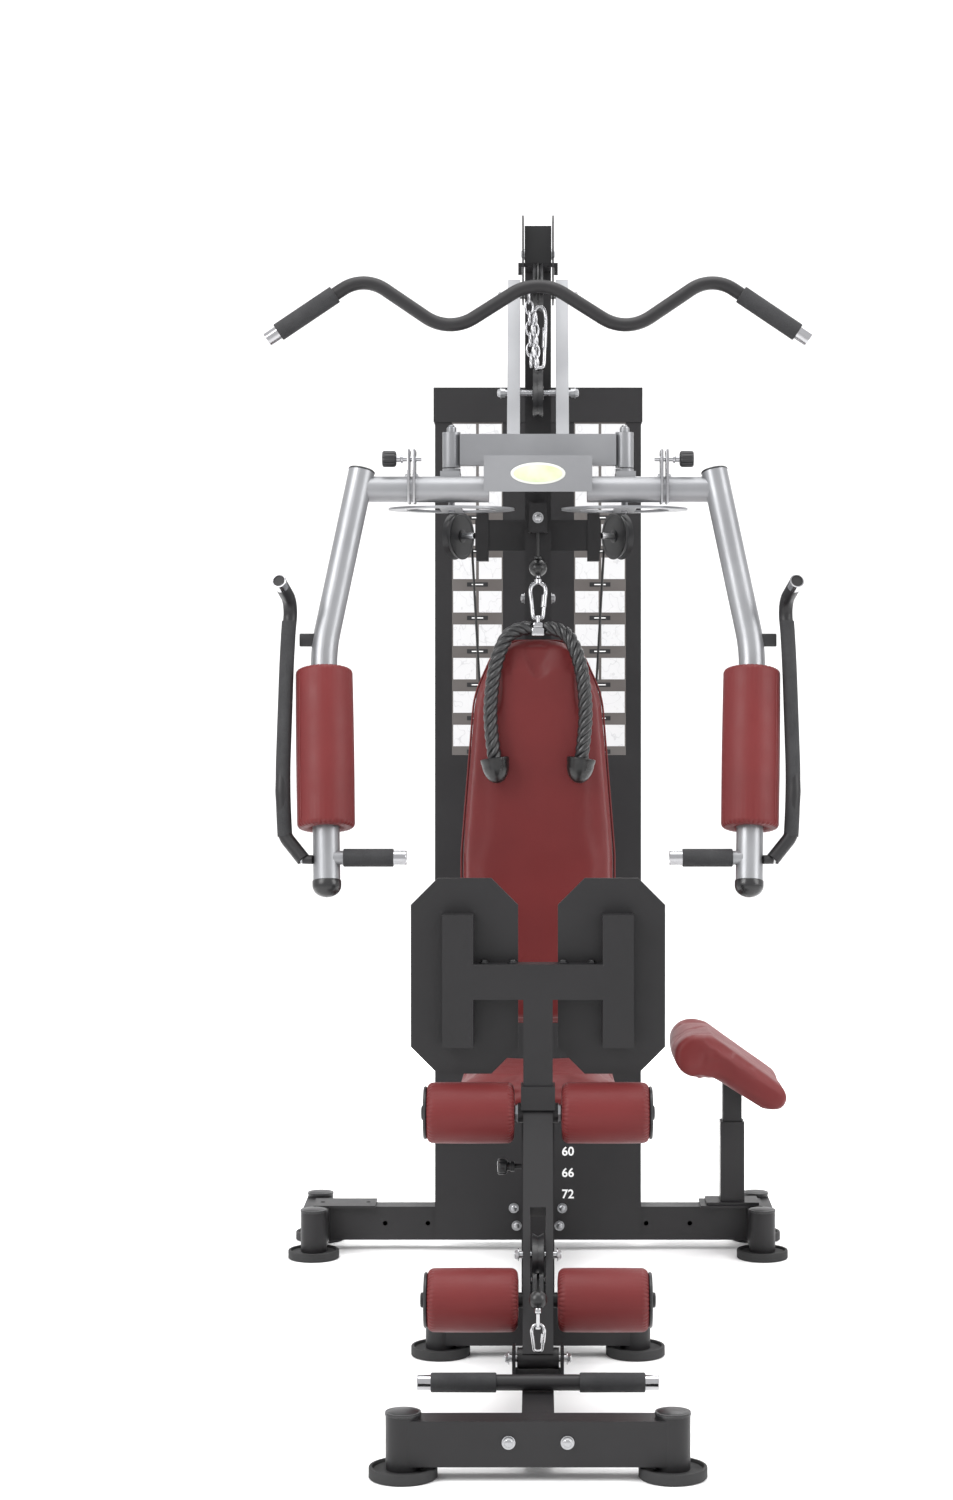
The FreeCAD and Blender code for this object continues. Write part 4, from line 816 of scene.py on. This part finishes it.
def rollPiece(name, start, heading, sizes, body, node):
    # a covered foam roll whose cover is drawn in with pleats at both ends
    radius, long, inner = sizes["radius"], sizes["long"], sizes["inner"]
    ease = sizes["ease"]
    near = []
    for step in range(9):
        turn = math.radians(90 * step / 8)
        near.append((radius - ease + ease * math.sin(turn), ease - ease * math.cos(turn),
                     0.95 - 0.95 * step / 8))
    ends = [(inner, 2.5, 1.0), (inner + 5, 0.6, 1.0), ((inner + radius - ease) / 2 + 4, -0.8, 0.9)] + near
    belly = [(radius + sizes["belly"] * math.sin(math.pi * share), long * share, 0)
             for share in (0.3, 0.5, 0.7)]
    profile = ends + belly + [(r, long - along, pleat) for r, along, pleat in reversed(ends)]

    def wave(angle, index):
        deep = profile[index][2] * sizes["pleatDeep"] / profile[index][0]
        sharp = abs(math.sin(sizes["pleats"] * angle / 2 + 0.6 * math.sin(3 * angle)))
        return 1 + deep * (sharp - 0.6)

    roll = turnedPiece(name, [(r, along) for r, along, pleat in profile], start, heading, "redVinyl", body,
                       [node], sizes["around"], wave)


def makeRollers():
    sizes = {"radius": 51.5, "long": 149, "inner": 15, "ease": 13, "belly": 0.4, "pleats": 44,
             "pleatDeep": 4.2, "around": 264, "discRadius": 45, "discThick": 5.5}
    thick, wide = sizes["discThick"], sizes["discRadius"]
    disc = [(13, 0), (wide - 1, 0), (wide, 1), (wide, thick - 2), (wide - 2, thick), (wide - 8, thick),
            (wide - 9, thick - 1), (17, thick - 1), (15, thick + 0.6), (13, thick + 0.6)]
    for name, node, y, z, gap in (("knee", "upper_rollers", -1075, 478, 40),
                                  ("ankle", "lower_rollers", -1256.5, 200, 32)):
        body = name + "_rollers"
        for side, hand in sides:
            rollPiece(name + "_roller_" + hand, (side * (gap + 0.8), y, z), (side, 0, 0), sizes, body, node)
            turnedPiece(name + "_disc_" + hand, disc, (side * (gap + 149.9), y, z), (side, 0, 0),
                        "plastic", body, [node])
    print("rollers done")


def makeArmPads():
    sizes = {"radius": 51.5, "long": 291, "inner": 25, "ease": 9, "belly": 0.7, "pleats": 36,
             "pleatDeep": 3.8, "around": 216, "seam": 1.3, "down": 41}
    for side, hand in sides:
        knee, end = onSide(side, *flyArm["knee"]), onSide(side, *flyArm["end"])
        heading = (end - knee).normalized()
        start = knee + heading * sizes["down"]
        rollPiece("arm_cushion_" + hand, start, heading, sizes, hand + "_fly_arm", "arm_pad_" + hand)
        across = Vector((side, -0.75, 0))
        across = (across - heading * across.dot(heading)).normalized()
        line = []
        for step in range(21):
            proud = sizes["radius"] + 0.2 + sizes["belly"] * math.sin(math.pi * step / 20)
            line.append(start + heading * (12 + step * 267 / 20) + across * proud)
        tubePiece("arm_seam_" + hand, line, sizes["seam"], 8, "redVinyl", hand + "_fly_arm")
    print("arm pads done")


# grips, knobs and bars
def gripPiece(name, start, end, outer, inner, body, replaced=(), finish="foam"):
    # a foam sleeve with softened ends
    way = Vector(end) - Vector(start)
    long = way.length
    profile = [(inner, 0.3), (outer - 1.6, 0), (outer - 0.4, 0.7), (outer, 2.2), (outer, long / 2),
               (outer, long - 2.2), (outer - 0.4, long - 0.7), (outer - 1.6, long), (inner, long - 0.3)]
    turnedPiece(name, profile, start, way, finish, body, replaced)


def endTube(name, start, end, radius, body, replaced=()):
    # a bare tube end: bevelled rim and a recessed plug
    way = Vector(end) - Vector(start)
    long = way.length
    profile = [(radius - 2, 0), (radius, 0.2), (radius, long - 1), (radius - 0.8, long),
               (radius - 2.2, long), (radius - 2.6, long - 3), (2, long - 3)]
    turnedPiece(name, profile, start, way, "chrome", body, replaced)


def fluted(name, start, heading, sizes, body, replaced=()):
    # a hand knob with rounded flutes and a shallow dished face
    flutes, outer, tall = sizes["flutes"], sizes["outer"], sizes["tall"]
    profile = [(outer * 0.55, 0), (outer * 0.8, 0.6), (outer * 0.94, 2.4), (outer, 5), (outer, tall - 4),
               (outer * 0.95, tall - 1.4), (outer * 0.84, tall), (outer * 0.6, tall - 0.3),
               (outer * 0.3, tall - 1)]

    def wave(angle, index):
        if index in (0, 7, 8):
            return 1
        return 1 - 0.09 * (0.5 + 0.5 * math.cos(flutes * angle)) ** 2

    turnedPiece(name, profile, start, heading, "plastic", body, replaced, flutes * 12, wave)


def makeFlyFittings():
    sizes = {"knob": {"flutes": 10, "outer": 15, "tall": 26}, "gripY": -885, "gripZ": 899,
             "pinY": -700, "pinZ": 1618, "handleRadius": 12.9}
    cap = [(22, -3), (24.6, -1), (24.8, 0.4), (23.6, 2.2), (16, 3), (6, 3.2)]
    stem = [(4.8, 0), (4.8, 34), (7.5, 34.4), (7.5, 38), (5.5, 39), (5.5, 45.6), (8.5, 46), (8.5, 47.5)]
    foot = [(25, -9), (25.6, -8), (25.6, 0)] + domeRings(25.6, 21, 10)
    sleeve = [(450, -870, 936), (456, -858, 1015), (454.5, -825, 1141), (453, -792, 1267),
              (450.5, -779, 1318)]
    for side, hand in sides:
        arm, pin, grips = hand + "_fly_arm", hand + "_fly_pin", ["arm_grips_" + hand]

        def gripAt(x):
            return onSide(side, x, sizes["gripY"], sizes["gripZ"])

        def pinAt(x):
            return onSide(side, x, sizes["pinY"], sizes["pinZ"])

        gripPiece("fly_grip_" + hand, gripAt(345), gripAt(256), 16, 12.7, arm, grips)
        endTube("fly_grip_end_" + hand, gripAt(257), gripAt(233.2), sizes["handleRadius"], arm)
        top, knee, end = (onSide(side, *flyArm[word]) for word in ("top", "knee", "end"))
        turnedPiece("arm_foot_" + hand, foot, end, end - knee, "rubberGloss", arm, grips)
        turnedPiece("arm_cap_" + hand, cap, top, top - knee, "plastic", arm, grips)
        last, before = onSide(side, 462, -852, 1390), onSide(side, 447, -768, 1352)
        way = (last - before).normalized()
        endTube("handle_end_" + hand, last - way * 20, last + way * 2, sizes["handleRadius"], arm)
        # the outer handle is sleeved in foam along its long run
        line = smoothLine([onSide(side, *spot) for spot in sleeve], resolution=10)
        tubePiece("handle_sleeve_" + hand, line, 13.3, 24, "foam", arm)
        fluted("fly_knob_cap_" + hand, pinAt(260), (side, 0, 0), sizes["knob"], pin, ["fly_knob_" + hand])
        turnedPiece("fly_pin_stem_" + hand, stem, pinAt(214), (side, 0, 0), "chrome", pin,
                    ["fly_knob_" + hand], 32)
        # bright clamp plates on both sides of the arm's indexing slot
        for number, x in enumerate((227, 237)):
            slabPiece("clamp_plate_%s_%d" % (hand, number), (side * x - 2.6, -728.6, 1535.4),
                      (side * x + 2.6, -671.4, 1634.6), 1.6, "chrome", arm)
        # strap buckle on the handle's band
        slabPiece("strap_" + hand, (side * 410 - 22, -780.4, 1273), (side * 410 + 22, -771, 1297), 2.2,
                  "plastic", arm)


def makeBars():
    low = {"y": -1423, "z": 107.5, "tube": 12}
    for side, hand in sides:
        outer, inner = onSide(side, 498, -691, 1838), onSide(side, 321, -691, 1957)
        way = (outer - inner).normalized()
        gripPiece("lat_grip_" + hand, outer - way * 150, outer - way * 24, 17, 12.7, "lat_pull_bar")
        endTube("lat_end_" + hand, outer - way * 25, outer + way * 0.8, 12.9, "lat_pull_bar")

    def lowAt(x):
        return (x, low["y"], low["z"])

    gripPiece("low_bar_middle", lowAt(-98), lowAt(98), 12.6, 10, "frame", ["low_bar"], "framePaint")
    for side, hand in sides:
        gripPiece("low_grip_" + hand, lowAt(side * 66), lowAt(side * 170), 15.4, low["tube"], "frame",
                  ["low_bar"])
        endTube("low_end_" + hand, lowAt(side * 168), lowAt(side * 191.6), low["tube"], "frame", ["low_bar"])


def makePins():
    # the seat's pull knob and the stack's selector pin
    seat = {"flutes": 8, "outer": 15.4, "tall": 18, "y": -700, "z": 318, "node": ["seat_knob"]}
    pin = {"z": 485.5, "front": 68, "node": ["selector_pin"]}
    fluted("seat_knob_cap", (-56, seat["y"], seat["z"]), (-1, 0, 0), seat, "seat_pin", seat["node"])
    turnedPiece("seat_knob_stem", [(4.8, 0), (4.8, 17), (9.5, 17.3), (9.5, 24.5), (8, 25), (8, 30)],
                (-26, seat["y"], seat["z"]), (-1, 0, 0), "plastic", "seat_pin", seat["node"], 32)
    turnedPiece("seat_knob_ring", [(7, -0.6), (9.4, -0.2), (10.4, 0.5), (9.4, 1.0), (7, 0.6)],
                (-73.6, seat["y"], seat["z"]), (-1, 0, 0), "chrome", "seat_pin", seat["node"], 40)
    turnedPiece("selector_handle", [(7, 0), (11, 0.8), (12, 3), (12, 8), (8, 14), (7, 24), (6, 30)],
                (0, pin["front"] - 44, pin["z"]), (0, 1, 0), "plastic", "stack_pin", pin["node"])
    turnedPiece("selector_rod", [(4.4, 0), (4.4, 89), (3.4, 92)], (0, pin["front"] - 14, pin["z"]),
                (0, 1, 0), "chrome", "stack_pin", pin["node"], 32)
    print("handles done")


# chain, hooks and small steel
def linkShape(tree, given):
    # one welded link: a wire swept round a stretched loop
    loop = addNode(tree, "GeometryNodeCurvePrimitiveCircle", {"Resolution": 28, "Radius": given["half"]})
    turned = addNode(tree, "GeometryNodeTransform",
                     {"Geometry": loop.outputs[0], "Rotation": (math.radians(90), 0, 0)})
    shaped = addNode(tree, "GeometryNodeTransform",
                     {"Geometry": turned.outputs[0], "Scale": (0.56, 1, 1)})
    wire = addNode(tree, "GeometryNodeCurvePrimitiveCircle", {"Resolution": 10, "Radius": given["wire"]})
    return addNode(tree, "GeometryNodeCurveToMesh",
                   {"Curve": shaped.outputs[0], "Profile Curve": wire.outputs[0]}).outputs[0]


def chainTree(name, sizes, finish):
    # links along the points, each a quarter turn on from the last
    tree, given, out = newTree(name, sizes)
    link = linkShape(tree, {socket.name: socket for socket in given})
    way = addNode(tree, "GeometryNodeInputNamedAttribute", {"Name": "outward"},
                  data_type="FLOAT_VECTOR").outputs["Attribute"]
    turn = addNode(tree, "FunctionNodeAlignRotationToVector", {"Vector": way}, axis="Z")
    number = addNode(tree, "GeometryNodeInputIndex").outputs[0]
    quarter = addNode(tree, "ShaderNodeMath", {0: number, 1: math.radians(90)}, operation="MULTIPLY")
    skew = addNode(tree, "ShaderNodeMath", {0: quarter.outputs[0], 1: 0.5}, operation="ADD")
    spin = addNode(tree, "FunctionNodeAxisAngleToRotation", {"Axis": (0, 0, 1), "Angle": skew.outputs[0]})
    both = addNode(tree, "FunctionNodeRotateRotation",
                   {"Rotation": turn.outputs[0], "Rotate By": spin.outputs[0]}, rotation_space="LOCAL")
    placed = addNode(tree, "GeometryNodeInstanceOnPoints",
                     {"Points": given[0], "Instance": link, "Rotation": both.outputs[0]})
    closeTree(tree, placed.outputs[0], out, finish)
    return tree


def carabiner(name, low, high, sizes, body, replaced=()):
    # a pear-shaped hook of round wire with a sleeve for its gate
    low, high = Vector(low), Vector(high)
    up = (high - low).normalized()
    across = Vector((1, 0, 0))
    across = (across - up * across.dot(up)).normalized()
    tall, wide, wire = (high - low).length, sizes["wide"], sizes["wire"]
    outline = [(0, 0), (0.36, 0.02), (0.42, 0.2), (0.5, 0.55), (0.62, 0.8), (0.45, 0.98), (0, 1.02),
               (-0.45, 0.98), (-0.62, 0.8), (-0.5, 0.55), (-0.42, 0.2), (-0.36, 0.02)]
    line = smoothLine([low + across * wide * x * 0.8 + up * (wire + (tall - 2 * wire) * y)
                       for x, y in outline], closed=True, resolution=8)
    bm = bmesh.new()
    tube(bm, line, wire, 14, closed=True)
    middle = low + across * wide * 0.8 * 0.46 + up * tall * 0.5
    lean = (up * tall * 0.3 + across * wide * 0.06).normalized()
    lathe(bm, [(wire + 0.2, -tall * 0.16), (wire + 1.3, -tall * 0.15), (wire + 1.3, tall * 0.15),
               (wire + 0.2, tall * 0.16)], middle, lean, 24)
    keepPiece(name, meshFrom(bm, name), "chrome", body, replaced)


def ballPiece(name, centre, radius, heading, body, replaced=()):
    # a rubber cable stop: a ball with a flat collar
    profile = []
    for step in range(1, 16):
        turn = math.radians(-90 + 180 * step / 16)
        profile.append((radius * math.cos(turn), radius * math.sin(turn)))
    profile += [(radius * 0.42, radius * 1.02), (radius * 0.42, radius * 1.25), (radius * 0.3, radius * 1.3)]
    turnedPiece(name, profile, centre, heading, "rubberGloss", body, replaced)


def makeChain():
    sizes = {"half": 12.5, "wire": 1.9}
    pitch = 20.5
    tree = chainTree("chain_links", sizes, "chrome")
    spots = []
    for start, end in (((-17, -686, 1918), (-13, -688, 1800)), ((-3, -694, 1796), (-6, -694, 1876))):
        start, end = Vector(start), Vector(end)
        count = round((end - start).length / pitch)
        for step in range(count + 1):
            spots.append((tuple(start.lerp(end, step / count)), (end - start).normalized()))
    growPiece("lat_chain_links", spotsMesh("spots", spots), tree, sizes, "chrome", "lat_pull_bar",
              ["lat_chain"])
    carabiner("lat_hook", (4, -691, 1783), (3, -672, 1903), {"wide": 24, "wire": 3.1}, "lat_pull_bar",
              ["lat_chain"])
    print("chain done")


def makeRopeClamp():
    node = ["rope_clip"]
    carabiner("rope_hook", (0, -553, 1322), (0, -532, 1396), {"wide": 31, "wire": 3.6}, "frame", node)
    ballPiece("rope_stop", (0, -524, 1422), 17, (0, 0.1, 1), "frame", node)
    turnedPiece("rope_swivel", [(5, 0), (6.5, 1), (6.5, 9), (4, 12), (4, 20)], (0, -532, 1391),
                (0, 0.25, 1), "chrome", "frame", node, 28)
    # the crimp: a bright band folded over the rope's middle, with an eye on top
    bm = bmesh.new()
    slab(bm, (-12, -577.5, 1293), (12, -546.5, 1309), 3)
    slab(bm, (-9.5, -574, 1307), (9.5, -550, 1319), 3.5)
    lathe(bm, [(3.4, 0), (3.4, 10), (4.6, 11), (4.6, 15), (2, 16)], (0, -560, 1316), (0, 0.15, 1), 20)
    keepPiece("rope_crimp", meshFrom(bm, "crimp"), "chrome", "frame", node)


def makeLeverSteel():
    # leg cable stop, its hook and the axles of the lever
    lever, node = "leg_press", ["lever_hardware"]
    stop, wheel, hookY = (0, -1335, 218), (-1213.8, 265.4), -1341
    knee, ankle = (-1075, 478), (-1256.5, 200)
    ballPiece("leg_stop", stop, 15, (0, 0.9, 0.12), lever, node)
    swivel = [(4.5, 0), (5.6, 1.4), (5.6, 8), (3.2, 10), (3.2, 30), (5, 31), (5, 34), (2.5, 35)]
    turnedPiece("leg_swivel", swivel, (0, hookY, 207), (0, 0, -1), "chrome", lever, node, 28)
    carabiner("leg_hook", (0, hookY, 134), (0, hookY, 182), {"wide": 22, "wire": 2.7}, lever, node)
    tubePiece("leg_cable", [Vector(stop), Vector((0, -1274, 225)), Vector((0, wheel[0], 232.2))], 2.5, 12,
              "cableCover", lever, node)
    for name, (y, z), half in (("knee_axle", knee, 199.6), ("ankle_axle", ankle, 193.6)):
        turnedPiece(name, [(8, 0), (10.5, 0.3), (12.4, 2), (12.4, half), (12.4, 2 * half - 2),
                           (10.5, 2 * half - 0.3), (8, 2 * half)],
                    (-half, y, z), (1, 0, 0), "framePaint", lever, node)
    for side, hand in sides:  # bright collars beside the top bushing
        turnedPiece("bush_nut_%d" % (side + 1),
                    [(12.6, 0), (17.5, 0), (17.5, 1.2), (15.6, 1.4), (15.6, 4.2), (14.6, 5), (12.6, 5)],
                    (side * 34.2, *knee), (side, 0, 0), "zinc", lever, node, 6)
    turnedPiece("lever_wheel_axle", [(4, 0), (5.9, 1), (5.9, 63), (4, 64)], (-32, *wheel), (1, 0, 0),
                "zinc", lever, node, 32)
    print("hooks done")


def makeFeet():
    # dished rubber feet and domed post caps
    sizes = {"outer": 53, "lip": 6, "tall": 18, "dish": 13.6, "capLow": 96}
    outer, lip, tall, dish = sizes["outer"], sizes["lip"], sizes["tall"], sizes["dish"]
    cup = [(outer - 5, 0), (outer - 1.5, 0.4), (outer, 2), (outer, tall - 2), (outer - 0.8, tall - 0.5),
           (outer - 2, tall), (outer - lip + 1, tall), (outer - lip, tall - 0.8),
           (outer - lip - 1.5, dish), (27.5, dish), (20, dish)]
    cap = [(26, -0.2), (28, 0.6), (28.2, 2.4), (26.6, 4.2), (20, 6.4), (10, 7.6), (3, 7.9)]
    posts = [(side * 467, y) for side, hand in sides for y in (0, 190)]
    posts += [(side * x, y) for x, y in ((175, -813), (207, -1569)) for side, hand in sides]
    whole, caps = bmesh.new(), bmesh.new()
    for x, y in posts:
        lathe(whole, cup, (x, y, 0), (0, 0, 1), 64)
        lathe(caps, cap, (x, y, sizes["capLow"]), (0, 0, 1), 48)
    keepPiece("foot_cups", meshFrom(whole, "feet"), "rubber", "frame", ["foot_discs"])
    keepPiece("post_caps", meshFrom(caps, "caps"), "plastic", "frame")
    print("feet done")


def makeBadge():
    # blank oval badge on the cover, pale rim and green field
    for name, wide, tall, face, finish in (("badge_rim", 50, 20, 1.2, "badgeWhite"),
                                           ("badge_field", 45, 16, 2.0, "badgeGreen")):
        bm = bmesh.new()
        lathe(bm, [(0.96, 0), (1, 0.4), (0.99, face - 0.4), (0.95, face), (0.4, face + 0.2)],
              (0, 0, 0), (0, -1, 0), 72)
        mesh = meshFrom(bm, name)
        mesh.transform(Matrix.Translation((0, -740.1, 1589)) @ Matrix.Diagonal((wide, 1, tall, 1)))
        keepPiece(name, mesh, finish, "press_arm")


def makeWheelHubs():
    # raised hub and rim ring on both faces of each cable wheel
    sizes = {"faceOut": 8.8, "wheel": 46, "leverWheel": 35, "flyTurn": math.radians(30)}
    straight = Vector((1, 0, 0))
    slant = Vector((math.cos(sizes["flyTurn"]), math.sin(sizes["flyTurn"]), 0))
    wheels = (("press", (0, -530, 1754), straight), ("lat", (0, -625, 1941), straight),
              ("rear", (0, 90.5, 1941), straight), ("low", (0, -850, 142), straight),
              ("fly_left", (-156, -356, 1489), Vector((slant.x, -slant.y, 0))),
              ("fly_right", (156, -356, 1489), slant), ("lever", (0, -1213.8, 265.4), straight))
    bodies = {"fly_left": "left_fly_pulley", "fly_right": "right_fly_pulley"}
    for name, centre, axis in wheels:
        radius = sizes["leverWheel"] if name == "lever" else sizes["wheel"]
        bm = bmesh.new()
        for way in (axis, -axis):
            start = Vector(centre) + way * sizes["faceOut"]
            lathe(bm, [(6.4, 0), (13, 0), (13, 1.0), (12, 1.7), (6.4, 1.7)], start, way, 40)
            lathe(bm, [(radius - 7, 0), (radius - 6.4, 0.9), (radius - 3.4, 0.9), (radius - 2.6, 0)],
                  start, way, 56)
        keepPiece("wheel_hub_" + name, meshFrom(bm, "hub"), "plastic", bodies.get(name, name + "_pulley"))
    print("wheel hubs done")


def makeCableAnchor():
    # the fly cables run on behind the backrest to a cross bar held off the upright
    sizes = {"x": 116.7, "y": -317.5, "z": 1227.2, "lean": 0.065, "cable": 2.5, "ferrule": 6.5,
             "barTop": 1132, "barHalf": 124, "barDeep": 14, "thick": 8, "tongue": 24, "uprightBack": -412}
    top, deep, back = sizes["barTop"], sizes["barDeep"], sizes["y"]
    ferrule = [(4, 0), (10, 0), (10, 3), (sizes["ferrule"], 3.6), (sizes["ferrule"], 26), (3.4, 29)]
    bm = bmesh.new()
    slab(bm, (-sizes["barHalf"], back - deep, top - 20), (sizes["barHalf"], back + deep, top), 1.2)
    slab(bm, (-sizes["tongue"], sizes["uprightBack"], top - 14),
         (sizes["tongue"], back - deep + 1, top - 14 + sizes["thick"]), 1.0)
    keepPiece("fly_cable_bar", meshFrom(bm, "bar"), "framePaint", "frame")
    for side, hand in sides:
        high = onSide(side, sizes["x"], back, sizes["z"])
        low = high + Vector((-side * sizes["lean"], 0, -1)) * (sizes["z"] - top - 2)
        tubePiece("fly_cable_tail_" + hand, [high + (low - high) * step / 4 for step in range(5)],
                  sizes["cable"], 12, "cableCover", "frame")
        turnedPiece("fly_cable_ferrule_" + hand, ferrule, (low.x, back, top), (0, 0, 1), "zinc", "frame",
                    (), 32)
    print("cable anchor done")


makeCamera()
makeRopes()
makeStudio()
dressFrame()
for make in (makeBackrest, makeSeat, makeBench, makeRollers, makeArmPads, makeFlyFittings, makeBars, makePins,
             makeChain, makeRopeClamp, makeLeverSteel, makeFeet, makeBadge, makeWheelHubs, makeCableAnchor,
             makeBolts, makeCharts, makeNumerals):
    make()
